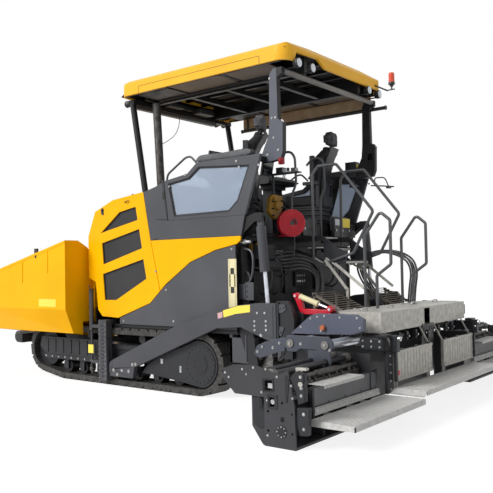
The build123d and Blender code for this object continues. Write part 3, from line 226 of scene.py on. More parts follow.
class Piece:
    """Collects plain shapes into one mesh."""

    def __init__(self):
        self.verts = []
        self.faces = []

    def add(self, verts, faces):
        base = len(self.verts)
        self.verts += [Vector(v) for v in verts]
        self.faces += [[base + i for i in face] for face in faces]
        return self

    def box(self, x0, x1, y0, y1, z0, z1):
        verts = [(x, y, z) for z in (z0, z1) for y in (y0, y1) for x in (x0, x1)]
        return self.add(verts, [(0, 2, 3, 1), (4, 5, 7, 6), (0, 1, 5, 4), (2, 6, 7, 3), (0, 4, 6, 2),
            (1, 3, 7, 5)])

    def solid(self, points, a, b, place):
        """Outline swept from a to b; place turns (u, v, w) into x, y, z."""
        n = len(points)
        verts = [place(u, v, a) for u, v in points] + [place(u, v, b) for u, v in points]
        faces = [tuple(range(n)), tuple(range(2 * n - 1, n - 1, -1))]
        faces += [(i, i + n, (i + 1) % n + n, (i + 1) % n) for i in range(n)]
        return self.add(verts, faces)

    def xz(self, points, y0, y1):
        return self.solid(points, y0, y1, lambda u, v, w: (u, w, v))

    def yz(self, points, x0, x1):
        return self.solid(points, x0, x1, lambda u, v, w: (w, u, v))

    def xy(self, points, z0, z1):
        return self.solid(points, z0, z1, lambda u, v, w: (u, v, w))

    def rod(self, a, b, r, r1=None, n=20):
        a, b = Vector(a), Vector(b)
        turn = (b - a).to_track_quat("Z", "Y")
        verts = []
        for p, radius in ((a, r), (b, r if r1 is None else r1)):
            for i in range(n):
                t = 2 * pi * i / n
                verts.append(p + turn @ Vector((radius * cos(t), radius * sin(t), 0)))
        faces = [tuple(range(n - 1, -1, -1)), tuple(range(n, 2 * n))]
        faces += [(i, (i + 1) % n, (i + 1) % n + n, i + n) for i in range(n)]
        return self.add(verts, faces)

    def tube(self, points, r, bend=0.0, n=10):
        """Round bar through points with rounded corners."""
        path = rounded([Vector(p) for p in points], bend)
        rings = []
        side = None
        for i, p in enumerate(path):
            ahead = path[min(i + 1, len(path) - 1)] - path[max(i - 1, 0)]
            ahead.normalize()
            if side is None:
                side = ahead.cross(Vector((0, 0, 1)) if abs(ahead.z) < 0.9 else Vector((0, 1, 0)))
            side = (side - ahead * side.dot(ahead)).normalized()
            up = ahead.cross(side)
            turns = [2 * pi * k / n for k in range(n)]
            rings.append([p + side * (r * cos(t)) + up * (r * sin(t)) for t in turns])
        verts = [v for ring in rings for v in ring]
        faces = []
        for i in range(len(rings) - 1):
            for k in range(n):
                m = (k + 1) % n
                faces.append((i * n + k, i * n + m, (i + 1) * n + m, (i + 1) * n + k))
        faces.append(tuple(range(n - 1, -1, -1)))
        faces.append(tuple(range((len(rings) - 1) * n, len(rings) * n)))
        return self.add(verts, faces)

    def ball(self, at, r, n=12, squash=1.0):
        at = Vector(at)
        rows = n // 2
        verts = [at + Vector((0, 0, r * squash)), at - Vector((0, 0, r * squash))]
        for i in range(1, rows):
            t = pi * i / rows
            for k in range(n):
                a = 2 * pi * k / n
                verts.append(at + Vector((r * sin(t) * cos(a), r * sin(t) * sin(a), r * squash * cos(t))))
        faces = [(0, 2 + k, 2 + (k + 1) % n) for k in range(n)]
        for i in range(rows - 2):
            for k in range(n):
                m = (k + 1) % n
                faces.append((2 + i * n + k, 2 + (i + 1) * n + k, 2 + (i + 1) * n + m, 2 + i * n + m))
        last = 2 + (rows - 2) * n
        faces += [(1, last + (k + 1) % n, last + k) for k in range(n)]
        return self.add(verts, faces)

    def mirror(self):
        """Adds the same again on the machine's other side."""
        n = len(self.verts)
        self.verts += [Vector((v.x, -v.y, v.z)) for v in self.verts[:n]]
        self.faces += [[i + n for i in reversed(face)] for face in self.faces[:]]
        return self

    def put(self, name, finish, body, bevel=0.0):
        mesh = bpy.data.meshes.new(name)
        mesh.from_pydata([v * MM for v in self.verts], [], self.faces)
        mesh.validate()
        mesh.materials.append(finish)
        mesh.polygons.foreach_set("use_smooth", [True] * len(mesh.polygons))
        mesh.set_sharp_from_angle(angle=radians(SHARP_ANGLE))
        obj = linked(name, mesh)
        if bevel:
            soften(obj, bevel)
        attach(obj, body)
        return obj


def soften(obj, width):
    mod = obj.modifiers.new("edge", "BEVEL")
    mod.width = width * MM
    mod.segments = 2
    mod.limit_method = "ANGLE"
    mod.angle_limit = radians(BEVEL_ANGLE)
    mod.harden_normals = False


def rounded(points, bend):
    """The path's points with each corner turned into an arc."""
    if bend <= 0 or len(points) < 3:
        return points
    path = [points[0]]
    for a, p, b in zip(points, points[1:], points[2:]):
        into, out = (a - p), (b - p)
        reach = min(bend, into.length / 2, out.length / 2)
        start, end = p + into.normalized() * reach, p + out.normalized() * reach
        for i in range(ARC_STEPS + 1):
            t = i / ARC_STEPS
            path.append(start * (1 - t) ** 2 + p * (2 * t * (1 - t)) + end * t ** 2)
    path.append(points[-1])
    return path


def weld_and_soften(node, width):
    """Softens the edges of a CAD node without moving it."""
    obj = NODES[node]
    weld = obj.modifiers.new("weld", "WELD")
    weld.merge_threshold = 0.00005
    soften(obj, width)


for node, width in (("door_left", 14), ("door_right", 14), ("hood", 12), ("hopper_wing_left", 4),
        ("hopper_wing_right", 4), ("lower_panels", 5), ("side_panels", 5), ("cab_sides", 6),
        ("tow_arms", 5), ("canopy_roof", 5), ("screed_covers", 3), ("yoke_left", 3), ("yoke_right", 3)):
    weld_and_soften(node, width)


# ---- small fittings ----
def bolt(piece, at, axis=(0, 1, 0), r=9, high=8):
    """Hexagon head on a washer."""
    at, axis = Vector(at), Vector(axis)
    piece.rod(at, at + axis * 3, r * 1.5, n=14)
    return piece.rod(at + axis * 3, at + axis * (3 + high), r, n=6)


def bolts_xz(name, points, y, body="root", r=9):
    """Bolt heads on faces that look along Y."""
    piece = Piece()
    for x, z in points:
        bolt(piece, (x, y, z), r=r)
    piece.mirror().put(name, ZINC, body)


def both_sides(finish, body, bevel=0.0):
    """Builds the decorated piece on both sides, each riding on its own body and named after the function."""
    def build(make):
        for side, flip in (("left", 1), ("right", -1)):
            piece = Piece()
            make(piece)
            if flip < 0:
                piece.verts = [Vector((v.x, -v.y, v.z)) for v in piece.verts]
                piece.faces = [list(reversed(face)) for face in piece.faces]
            piece.put(f"{make.__name__}_{side}", finish, f"{body}_{side}", bevel)
        return make
    return build


def ring_xz(piece, outer, inner, y0, y1):
    """Frame between two outlines with the same number of points."""
    n = len(outer)
    rings = [[(x, y, z) for x, z in line] for y, line in ((y0, outer), (y1, outer), (y1, inner),
        (y0, inner))]
    verts = [v for ring in rings for v in ring]
    faces = []
    for a in range(4):
        b = (a + 1) % 4
        faces += [(a * n + i, b * n + i, b * n + (i + 1) % n, a * n + (i + 1) % n) for i in range(n)]
    return piece.add(verts, faces)


def inset(points, by):
    """Outline with every side moved inwards; negative moves it outwards."""
    area = sum(a[0] * b[1] - b[0] * a[1] for a, b in zip(points, points[1:] + points[:1]))
    turn = 1 if area > 0 else -1
    n = len(points)
    out = []
    for i in range(n):
        a, p, b = (Vector(points[k % n]) for k in (i - 1, i, i + 1))
        u, v = (p - a).normalized(), (b - p).normalized()
        nu, nv = Vector((-u.y, u.x)) * turn, Vector((-v.y, v.x)) * turn
        half = (nu + nv).normalized()
        out.append(tuple(p + half * (by / max(0.3, half.dot(nu)))))
    return out


def clip_between(window, at, level):
    """Where a level (or upright) line crosses a convex outline."""
    hits = []
    for a, b in zip(window, window[1:] + window[:1]):
        k = 1 if level else 0
        if (a[k] - at) * (b[k] - at) < 0:
            t = (at - a[k]) / (b[k] - a[k])
            hits.append(a[1 - k] + t * (b[1 - k] - a[1 - k]))
    return sorted(hits)[:2] if len(hits) > 1 else None


# ---- engine doors, hood and side panels ----
SIDE = 1255
DECK_TOP = 1855
DOOR_WINDOWS = (((970, 1965), (600, 2221), (296, 2271), (263, 2101)), ((943, 1834), (238, 1988),
    (190, 1745), (919, 1554)), ((931, 1431), (168, 1610), (120, 1364), (678, 1094), (899, 1091)))
MESH_STEP = 14


@both_sides(MESH, "door")
def door_mesh_and_shade(piece):
    """Wire mesh in each window of the door, on a dark sheet that is painted shade of the space behind it."""
    for window in DOOR_WINDOWS:
        window = list(window)
        # the dark sheet behind the wires is painted shade
        piece.xz(inset(window, -12), 1227.5, 1229)
        low, high = min(p[1] for p in window), max(p[1] for p in window)
        left, right = min(p[0] for p in window), max(p[0] for p in window)
        for i in range(1, int((high - low) / MESH_STEP) + 1):
            z = low + i * MESH_STEP
            ends = clip_between(window, z, True)
            if ends:
                piece.box(ends[0] - 3, ends[1] + 3, 1229, 1231, z - 1.5, z + 1.5)
        for i in range(1, int((right - left) / MESH_STEP) + 1):
            x = left + i * MESH_STEP
            ends = clip_between(window, x, False)
            if ends:
                piece.box(x - 1.5, x + 1.5, 1229, 1232, ends[0] - 3, ends[1] + 3)


@both_sides(BLACK_RUBBER_AND_SHADE, "door")
def door_trim(piece):
    """Rubber lip round each window."""
    for window in DOOR_WINDOWS:
        ring_xz(piece, inset(list(window), -3), inset(list(window), 9), 1231, 1243)


@both_sides(PLASTIC, "door", 2)
def door_latch(piece):
    piece.xz([(900, 2196), (948, 2215), (946, 2280), (918, 2292), (900, 2280)], 1240, 1262)
    piece.rod((925, 1255, 2262), (925, 1275, 2262), 14)
    piece.rod((925, 1255, 2225), (925, 1268, 2225), 9)


@both_sides(PLASTIC, "door")
def door_handle(piece):
    piece.tube([(415, 1250, 2350), (415, 1278, 2350), (475, 1278, 2338), (475, 1250, 2338)], 6, 10)


Piece().box(400, 470, 1150, 1190, 2388, 2425).rod((435, 1170, 2420), (435, 1170, 2447),
    12).mirror().put("hood_latches", PLASTIC, "root", 3)
bolts_xz("side_bolts", ((-1337, 2667), (-1375, 2599), (-1649, 2593), (-336, 856), (-220, 1228),
    (-46, 1456), (-1240, 860), (-900, 860), (540, 830), (-1250, 1690), (-560, 2590), (-300, 2475)),
    SIDE)

GLASS_EDGE = [(-285, 2503), (-613, 2545), (-773, 2658), (-1507, 2605), (-1344, 2233), (-1212, 2119),
    (-376, 2112)]
seal = Piece()
ring_xz(seal, inset(GLASS_EDGE, -10), inset(GLASS_EDGE, 14), SIDE - 21, SIDE - 12)
ring_xz(seal, inset(GLASS_EDGE, -10), inset(GLASS_EDGE, -2), SIDE - 12, SIDE + 3)
seal.mirror().put("window_seals", BLACK_RUBBER_AND_SHADE, "root", 2)

# black strips in the gaps along the cowl's edges, the upright one at the cab side's front edge: painted
# shade in these gaps
cowl_shade_strips = Piece()
cowl_shade_strips.xz([(-170, 2560), (-200, 2563), (-262, 2119), (-236, 2115)], SIDE - 6, SIDE + 4)
cowl_shade_strips.xz([(-68, 2084), (-72, 2096), (-259, 2086), (-259, 2070)], SIDE - 6, SIDE + 4)
cowl_shade_strips.xz([(-85, 1862), (-20, 1850), (-14, 1838), (-85, 1848)], SIDE - 6, SIDE + 4)
cowl_shade_strips.box(-214, -182, SIDE - 6, SIDE + 10, 2330, 2420)
cowl_shade_strips.mirror().put("cowl_gap_shade", BLACK_RUBBER_AND_SHADE, "root", 2)

LOOP = [(-195, 1190, 2545), (-209, 1190, 2632), (-512, 1190, 2807), (-593, 1190, 2813), (-700, 1190, 2712)]
Piece().tube(LOOP, 13, 60).mirror().put("hand_loops", RAIL_GREY, "root")

# cream strut plates at the rear corners
STRUT = ((-1315, -1297, 1040, 1582), (-1217, -1199, 1040, 1582), (-1300, -1214, 1040, 1200),
    (-1300, -1214, 1270, 1410), (-1300, -1214, 1480, 1582), (-1300, -1284, 1200, 1480),
    (-1230, -1214, 1200, 1480))
strut = Piece()
for x0, x1, z0, z1 in STRUT:
    strut.box(x0, x1, SIDE + 1, SIDE + 8, z0, z1)
strut.mirror().put("corner_struts", CREAM, "root")
# black sheet showing through the strut's openings: painted shade inside the holes
back = Piece().box(-1290, -1222, SIDE + 0.3, SIDE + 2, 1195, 1485)
back.mirror().put("corner_strut_hole_shade", BLACK_RUBBER_AND_SHADE, "root")


# ---- running gear ----
COVER = [(224, 201), (150, 290), (-86, 438), (-470, 560)]
COVER += [(-730 + 272 * cos(radians(t)), 370 + 272 * sin(radians(t))) for t in range(60, 275, 12)]
COVER += [(-494, 135), (48, 190)]
cover = Piece()
cover.xz(COVER, SIDE - 26, SIDE - 15)
ring_xz(cover, COVER, inset(COVER, 16), SIDE - 15, SIDE - 10)
cover.mirror().put("drive_covers", BLACK, "root", 2)
hub = Piece()
hub.rod((-735, SIDE - 15, 368), (-735, SIDE - 8, 368), 232, n=48)
hub.rod((-735, SIDE - 8, 368), (-735, SIDE - 3, 368), 112, n=40)
for i in range(20):
    t = 2 * pi * i / 20
    bolt(hub, (-735 + 207 * cos(t), SIDE - 8, 368 + 207 * sin(t)), r=8, high=2)
for i in range(8):
    t = 2 * pi * (i + 0.5) / 8
    bolt(hub, (-735 + 85 * cos(t), SIDE - 4, 368 + 85 * sin(t)), r=6, high=1)
hub.mirror().put("drive_hubs", BLACK, "root", 1)
slots = Piece()
for x0, x1, z0, z1 in ((-436, -406, 250, 327), (-130, -92, 335, 392)):
    slots.box(x0, x1, SIDE - 14.8, SIDE - 13, z0, z1)
slots.mirror().put("drive_cover_slots", ZINC, "root")

guard = Piece()
guard.xz([(1000, 262), (2180, 262), (2250, 300), (2250, 316), (1000, 316)], SIDE - 62, SIDE - 18)
guard.xz([(1000, 316), (2200, 316), (2330, 420), (2290, 560), (1000, 560)], SIDE - 40, SIDE - 24)
guard.mirror().put("roller_guards", BLACK, "root", 2)
rib = Piece()
for x in range(1120, 2150, 170):
    rib.box(x, x + 60, SIDE - 24, SIDE - 16, 345, 530)
rib.mirror().put("roller_guard_ribs", BLACK, "root", 2)
bolts_xz("guard_bolts", [(x, 289) for x in range(1060, 2200, 140)], SIDE - 18)

fender = Piece()
fender.box(-1290, 600, SIDE - 42, SIDE - 22, 752, 764)
fender.box(-1290, 1160, SIDE - 60, SIDE - 42, 735, 764)
fender.mirror().put("fender_edges", BLACK, "root", 2)


# ---- tow arms and their rails ----
ARM_FACE = 1325
ARM_BOLTS = ((665, 209), (595, 158), (510, 214), (386, 215), (315, 300), (260, 310), (-1610, 904),
    (-1610, 856), (-1610, 810), (-1761, 909), (-1761, 862), (-1761, 817), (-1646, 994), (-1746, 996),
    (-1690, 760))
bolts_xz("arm_bolts", ARM_BOLTS, ARM_FACE, "screed", r=14)
blank = Piece()
blank.xz([(-1165, 1008), (-1375, 1064), (-1547, 1079), (-1544, 1000), (-1340, 975), (-1174, 931)],
    ARM_FACE, ARM_FACE + 2)
blank.mirror().put("arm_plates", TAG_YELLOW, "screed")
blank = Piece().xz([(-1084, 976), (-1157, 996), (-1156, 931), (-1090, 915)], ARM_FACE, ARM_FACE + 2)
blank.mirror().put("arm_plates_small", PINK, "screed")
pad = Piece()
pad.xz([(-1850, 735), (-1560, 800), (-1560, 1050), (-1600, 1075), (-1850, 1075)], ARM_FACE, ARM_FACE + 5)
pad.mirror().put("arm_end_plates", ARM_GREY, "screed", 2)
edge = Piece()
edge.box(-1915, -1885, 1272, 1318, 700, 1112)
edge.mirror().put("arm_end_edges", BLACK, "screed", 2)

RAIL_FACE = 1352
rail = Piece()
for z in range(95, 830, 62):
    for x in (787, 903):
        bolt(rail, (x, RAIL_FACE, z), r=8, high=6)
rail.mirror().put("rail_bolts", BAR_GREY, "root")
wear = Piece()
for z in range(110, 800, 46):
    wear.box(824, 866, RAIL_FACE, RAIL_FACE + 3, z, z + 20)
wear.mirror().put("rail_scale", BLACK_RUBBER_AND_SHADE, "root")
tape = Piece().box(1149, 1161, 1296, 1302, 694, 1287)
for z in range(712, 1280, 26):
    tape.rod((1155, 1302, z), (1155, 1304, z), 4, n=8)
tape.mirror().put("level_scale", RAIL_GREY, "root")
level = Piece()
level.rod((1112, 1300, 1195), (1112, 1300, 1215), 34).rod((1112, 1300, 700), (1112, 1300, 730), 34)
level.rod((1112, 1300, 248), (1112, 1300, 130), 28, 12).ball((1112, 1300, 190), 36)
level.box(1085, 1139, 1280, 1320, 1215, 1240)
level.mirror().put("level_fittings", STEEL, "root")
tag = Piece().box(1063, 1165, 1318, 1321, 397, 508)
tag.mirror().put("level_tags", TAG_YELLOW, "root", 1)


# ---- hopper wings ----
@both_sides(YELLOW, "hopper_wing", 2)
def wing_rim(piece):
    low, high = (3200, 1429), (1290, 1880)
    piece.xz([(3196, 1428), (1288, 1879), (1288, 1845), (3196, 1394)], 1585, 1590)
    for t in (0.2, 0.5, 0.8):
        x, z = (low[0] + (high[0] - low[0]) * t, low[1] + (high[1] - low[1]) * t)
        piece.box(x - 20, x + 20, 1585, 1592, z - 330, z - 30)


@both_sides(PLASTIC, "hopper_wing", 2)
def wing_bracket(piece):
    piece.box(1890, 1950, 1560, 1589, 1700, 1790)
    piece.box(1905, 1935, 1560, 1592, 1660, 1700)


@both_sides(TAG_YELLOW, "hopper_wing")
def wing_plate(piece):
    piece.box(1491, 1859, 1585, 1587, 1005, 1108)


# ---- hoses ----
def hose(name, points, thick, finish, body="root"):
    """A hose on one smooth curve between two fittings of the same body."""
    curve = bpy.data.curves.new(name, "CURVE")
    curve.dimensions = "3D"
    spline = curve.splines.new("NURBS")
    spline.points.add(len(points) - 1)
    for control, at in zip(spline.points, points):
        control.co = (*(Vector(at) * MM), 1)
    spline.use_endpoint_u = True
    spline.order_u = 3
    spline.resolution_u = 8
    curve.materials.append(finish)
    obj = linked(name, curve)
    line = bpy.data.meshes.new_from_object(obj)
    bpy.data.meshes.remove(line)
    curve.bevel_depth = thick * MM / 2
    curve.bevel_resolution = 2
    curve.use_fill_caps = True
    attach(obj, body)
    ends = Piece()
    for tip, other in ((points[0], points[1]), (points[-1], points[-2])):
        way = (Vector(other) - Vector(tip)).normalized()
        ends.rod(Vector(tip) - way * 12, Vector(tip) + way * 26, thick * 0.72, thick * 0.62, n=12)
        ends.rod(Vector(tip) - way * 14, Vector(tip) - way * 4, thick * 0.9, n=6)
    ends.put(f"{name}_ends", STEEL, body)


# loops on the tractor's rear wall, from the valve block down to the manifold
LOOP_MID = (130, 1235)
LOOP_SHRINK = 0.095
REAR_WALL = -1300
LOOP = ((560, 1640), (330, 1668), (60, 1656), (-190, 1600), (-370, 1480), (-425, 1300), (-400, 1140),
    (-300, 1020), (-200, 965))
for i in range(6):
    x = REAR_WALL - 100 - 13 * (i % 3) - 6 * i
    k = 1 - LOOP_SHRINK * i
    path = [(x, *(mid + (v - mid) * k for v, mid in zip(at, LOOP_MID))) for at in LOOP]
    path.insert(0, (REAR_WALL, LOOP_MID[0] + (LOOP[0][0] - LOOP_MID[0]) * k + 40, path[0][2]))
    path.append((REAR_WALL, path[-1][1] + 60, path[-1][2] - 10))
    hose(f"rear_hose_{i + 1}", path, 27, HOSE)
# short runs beside the lift cylinder and under the reel, thickness first
SHORT_HOSES = {
    "pump_hose_1": (24, (-1300, 860, 1560), (-1400, 850, 1570), (-1450, 790, 1480),
        (-1440, 760, 1330), (-1400, 790, 1180), (-1300, 800, 1150)),
    "pump_hose_2": (24, (-1300, 930, 1480), (-1390, 925, 1480), (-1440, 880, 1390),
        (-1430, 860, 1240), (-1390, 870, 1090), (-1300, 880, 1060)),
    "pump_hose_3": (16, (-1300, 700, 1600), (-1430, 700, 1610), (-1480, 640, 1500),
        (-1450, 560, 1380), (-1420, 520, 1220), (-1300, 500, 1160)),
    "side_hose_1": (26, (-1300, 1150, 1690), (-1420, 1150, 1700), (-1480, 1160, 1600),
        (-1470, 1165, 1420), (-1420, 1160, 1300), (-1300, 1150, 1270)),
    "side_hose_2": (22, (-1300, 1110, 1440), (-1360, 1110, 1440), (-1390, 1110, 1350),
        (-1385, 1110, 1200), (-1360, 1110, 1100), (-1300, 1110, 1080)),
    "far_hose_1": (26, (-1300, -420, 1700), (-1420, -420, 1710), (-1500, -480, 1600),
        (-1490, -560, 1400), (-1420, -600, 1250), (-1300, -610, 1220)),
    "far_hose_2": (26, (-1300, -520, 1730), (-1440, -520, 1740), (-1530, -590, 1620),
        (-1510, -680, 1400), (-1430, -730, 1230), (-1300, -740, 1200)),
}
for name, (thick, *path) in SHORT_HOSES.items():
    hose(name, path, thick, HOSE)
# arches of the screed's own hoses
for i in range(4):
    y = -790 - 62 * i
    up = 24 * (i % 2)
    hose(f"screed_hose_{i + 1}", [(-2040, y, 836), (-1990, y, 980), (-1800, y + 20, 1220),
        (-1680, y + 10, 1450 + up), (-1760, y, 1600 + up), (-2080, y - 10, 1660 + up),
        (-2370, y - 20, 1560 + up), (-2450, y - 10, 1400), (-2420, y, 1200), (-2400, y, 990),
        (-2400, y, 836)], 26, HOSE, "screed")
hose("screed_hose_5", [(-2060, 700, 836), (-2060, 700, 930), (-2090, 640, 1010), (-2160, 560, 1020),
    (-2240, 520, 960), (-2250, 520, 836)], 18, HOSE, "screed")
hose("reel_hose", [(-1560, 470, 1880), (-1550, 440, 1800), (-1530, 420, 1640), (-1470, 400, 1480),
    (-1400, 380, 1380), (-1300, 370, 1360)], 14, HOSE)

blocks = Piece()
for x0, x1, y0, y1, z0, z1 in ((-1330, -1290, 380, 640, 1560, 1700),
        (-1330, -1290, -330, -80, 930, 1010), (-1340, -1290, 1090, 1180, 1040, 1720),
        (-1330, -1290, 780, 960, 1020, 1620), (-1330, -1290, -780, -380, 1180, 1760),
        (-1320, -1290, 20, 330, 1160, 1500), (-1345, -1290, -60, 140, 1240, 1420)):
    blocks.box(x0, x1, y0, y1, z0, z1)
blocks.put("valve_blocks", BLACK_DEEP, "root", 4)
nuts = Piece()
for i in range(6):
    for j in range(3):
        nuts.rod((-1330, 410 + 40 * i, 1590 + 40 * j), (-1345, 410 + 40 * i, 1590 + 40 * j), 11, n=6)
for i in range(5):
    nuts.rod((-1330, 800 + 36 * i, 1060), (-1342, 800 + 36 * i, 1060), 10, n=6)
for i in range(4):
    nuts.rod((-1345, -40 + 50 * i, 1300), (-1362, -40 + 50 * i, 1300), 15, n=12)
    nuts.rod((-1345, -40 + 50 * i, 1370), (-1362, -40 + 50 * i, 1370), 9, n=6)
nuts.put("valve_fittings", ZINC, "root")
pads = Piece().box(-2110, -2000, -1010, -750, 825, 842).box(-2440, -2370, -1010, -750, 825, 842)
pads.box(-2090, -2030, 670, 730, 825, 842).box(-2280, -2220, 490, 550, 825, 842)
pads.put("screed_hose_blocks", BLACK, "screed", 2)


# ---- rear of the deck ----
AXIS = Vector((-0.78, 0.626, 0)).normalized()
REEL = Vector((-1605, 590, 1987))


def about_reel(angle, r, along):
    side = AXIS.cross(Vector((0, 0, 1)))
    return REEL + AXIS * along + side * (r * cos(angle)) + Vector((0, 0, r * sin(angle)))


reel = Piece()
for along, r in ((-45, 158), (36, 158)):
    reel.rod(REEL + AXIS * along, REEL + AXIS * (along + 9), r, n=48)
reel.rod(REEL - AXIS * 60, REEL + AXIS * 52, 46, n=28)
for i in range(5):
    ring = [about_reel(2 * pi * k / 40, 64 + 20 * i, 46) for k in range(41)]
    reel.tube(ring, 7, 0, n=8)
reel.box(-1560, -1500, 420, 620, 1835, 1860).box(-1590, -1450, 500, 640, 1838, 1850)
reel.xz([(-1560, 1838), (-1460, 1838), (-1460, 2060), (-1530, 2060)], 560, 584)
reel_obj = reel.put("reel_drum", RED, "root", 1)
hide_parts("hose_reel")
coil = Piece()
for i in range(4):
    coil.tube([about_reel(2 * pi * k / 40, 132, -30 + 19 * i) for k in range(41)], 9, 0, n=8)
coil.put("reel_windings", RED_DARK, "root")
centre = Piece()
centre.rod(REEL + AXIS * 52, REEL + AXIS * 66, 30, n=6)
centre.tube([about_reel(0.6, 20, 70), about_reel(2.2, 60, 72), about_reel(3.6, 50, 72)], 7, 20)
centre.put("reel_hub", STEEL, "root", 2)

ochre = Piece()
ochre.yz([(760, 2290), (700, 2330), (520, 2320), (500, 2190), (560, 2120), (640, 2035), (700, 2050),
    (790, 2120)], -1440, -1390)
ochre.rod((-1440, 640, 2200), (-1475, 640, 2200), 60, 50, n=24)
ochre.rod((-1440, 700, 2270), (-1470, 700, 2270), 24, n=6)
ochre.put("rear_motor", OCHRE, "root", 6)
carrier = Piece().box(-1450, -1400, 590, 640, DECK_TOP, 2060)
carrier.box(-1450, -1390, 500, 800, DECK_TOP, DECK_TOP + 20)
for z in (2100, 2180, 2260):
    carrier.rod((-1445, 545, z), (-1485, 545, z), 12, n=6)
    carrier.rod((-1445, 740, z - 20), (-1480, 740, z - 20), 10, n=6)
carrier.put("rear_motor_carrier", BLACK, "root", 3)
Piece().box(-1350, -1290, 870, 1000, 1665, 1790).rod((-1350, 935, 1730), (-1375, 935, 1730), 34,
    n=20).put("side_pump", OCHRE, "root", 6)
grey = Piece().box(-1492, -1376, 1176, 1186, 1120, 1318).box(-1385, -1290, 1180, 1186, 1130, 1300)
for z in (1160, 1220, 1280):
    bolt(grey, (-1400, 1186, z), r=8)
grey.put("side_bracket", PANEL_GREY, "root", 2)
Piece().rod((-1320, 1190, 1770), (-1460, 1190, 1768), 18, n=16).rod((-1372, 1190, 1770),
    (-1400, 1190, 1769), 28, n=6).put("side_fitting", ZINC, "root", 1)
holder = Piece().box(-1300, -1290, 1080, 1215, 1620, 1820).box(-1330, -1290, 1150, 1215, 1745, 1790)
holder.put("side_fitting_holder", BLACK_DEEP, "root", 2)

# dark switch boxes with blank plates
boxes = Piece()
boxes.box(-1500, -1452, -980, -560, DECK_TOP, 2110).box(-1490, -1440, -1130, -980, DECK_TOP, 2030)
boxes.box(-1500, -1450, -40, 180, DECK_TOP, 2060).box(-1480, -1450, 200, 420, DECK_TOP, 1960)
boxes.box(-1400, -1200, 150, 400, DECK_TOP, 2180).box(-1380, -1180, -330, -120, DECK_TOP, 2090)
boxes.put("rear_boxes", BLACK, "root", 6)
marks = Piece().box(-1503, -1500, -960, -730, 1985, 2105)
marks.put("rear_box_plate", TAG_YELLOW, "root", 1)
Piece().box(-1503, -1500, -690, -580, 2010, 2090).put("rear_box_plate_small", LIGHT_PLASTIC, "root", 1)
clasps = Piece()
for y in (-930, -760, -600, -20, 150, 230, 390):
    clasps.box(-1512, -1500, y - 10, y + 10, 1930, 1960)
clasps.put("rear_box_clasps", ZINC, "root", 1)

tall = Piece().box(-1580, -1420, -1120, -1010, 2660, 2880).box(-1530, -1470, -1090, -1040, 2560, 2660)
tall.box(-1560, -1460, -1235, -1040, 2540, 2570)
tall.put("far_box", BLACK, "root", 6)
Piece().box(-1584, -1580, -1090, -1040, 2760, 2850).put("far_box_plate", TAG_YELLOW, "root", 1)
wires = Piece()
wires.tube([(-1760, -1090, 2545), (-1900, -1180, 2535), (-2030, -1240, 2520)], 9, 30)
wires.tube([(-1800, -1130, 2540), (-1800, -1130, 2650), (-1920, -1190, 2650), (-1960, -1210, 2535)], 8, 40)
wires.box(-1990, -1940, -1240, -1180, 2500, 2530)
wires.put("far_mirror_arm", RAIL_GREY, "root")
tray = Piece().box(-1640, -1230, 395, 500, 2590, 2604)
tray.tube([(-1260, 450, 2600), (-1260, 450, 2400), (-1300, 470, 2150), (-1350, 480, DECK_TOP)], 16, 60)
tray.box(-1600, -1540, 410, 480, 2604, 2650).box(-1420, -1330, 400, 490, 2604, 2670)
tray.rod((-1480, 450, 2604), (-1480, 450, 2660), 18, n=12)
tray.put("control_tray", PLASTIC, "root", 3)
lights = Piece().box(-1604, -1600, 415, 475, 2612, 2642).box(-1424, -1420, 410, 480, 2615, 2655)
lights.box(-1530, -1450, 405, 495, 2604, 2612)
lights.put("control_tray_keys", LIGHT_PLASTIC, "root", 1)
loop = Piece()
for y in (329, -329):
    loop.tube([(-1240, y, 2790), (-1330, y, 2872), (-1440, y, 2872), (-1500, y, 2800), (-1513, y, 2480),
        (-1440, y, 2330), (-1440, y, DECK_TOP)], 15, 50)
loop.put("stair_head_loops", RAIL_GREY, "root")

# The stair side plates are black and reach over the dark area beside the stairs: partly the plates' own
# black, partly painted shade.
STAIRS = [(-1866, 1835), (-1886, 1820), (-2018, 1711), (-2174, 1637), (-2158, 1501), (-1905, 1505),
    (-1866, 1576)]
stairs = Piece()
for y in (300, -312):
    stairs.xz(STAIRS, y, y + 12)
    stairs.box(-1870, -1450, y, y + 12, 1775, 1835)
    stairs.xz([(-1870, 1560), (-1450, 1700), (-1450, 1660), (-1870, 1520)], y, y + 12)
stairs_obj = stairs.put("stair_sides", BLACK, "root", 2)
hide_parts("steps")
treads = Piece()
for x, z in ((-1880, 1690), (-2120, 1530)):
    treads.box(x, x + 240, -300, 300, z + 4, z + 18).box(x, x + 8, -300, 300, z - 22, z + 18)
treads.box(-1700, -1450, -300, 300, 1817, 1835)
treads.put("stair_treads", TREAD, "root", 1)
struts = Piece()
for y in (318, -318):
    for a, b in (((-1748, 1577), (-2010, 1440)), ((-1900, 1574), (-2060, 1470))):
        struts.tube([(a[0], y, a[1]), (b[0], y, b[1])], 13)
struts.put("stair_struts", GALVANISED, "root", 1)
bars = Piece()
for y in (352, -364):
    for line in (((-1900, 1545), (-1925, 1565), (-2215, 1215), (-2190, 1195)), ((-2030, 1500),
            (-2055, 1520), (-2420, 1240), (-2400, 1215)), ((-2215, 1215), (-2185, 1215), (-2185, 825),
            (-2215, 825))):
        bars.xz(line, y, y + 14)
bars.put("screed_stair_bars", GALVANISED, "screed", 1)
deck = Piece()
for y0, y1 in ((372, 850), (-850, -372)):
    for i in range(9):
        x, z = -2060 - 42 * i, 1190 - 20 * i
        deck.box(x - 16, x + 16, y0, y1, z - 8, z)
    for y in (y0, y1 - 14):
        deck.xz([(-2040, 1195), (-2412, 1018), (-2412, 990), (-2040, 1165)], y, y + 14)
        deck.box(-2080, -2050, y, y + 14, 825, 1180).box(-2400, -2370, y, y + 14, 825, 1010)
deck.put("screed_front_deck", DECK_BROWN, "screed", 1)

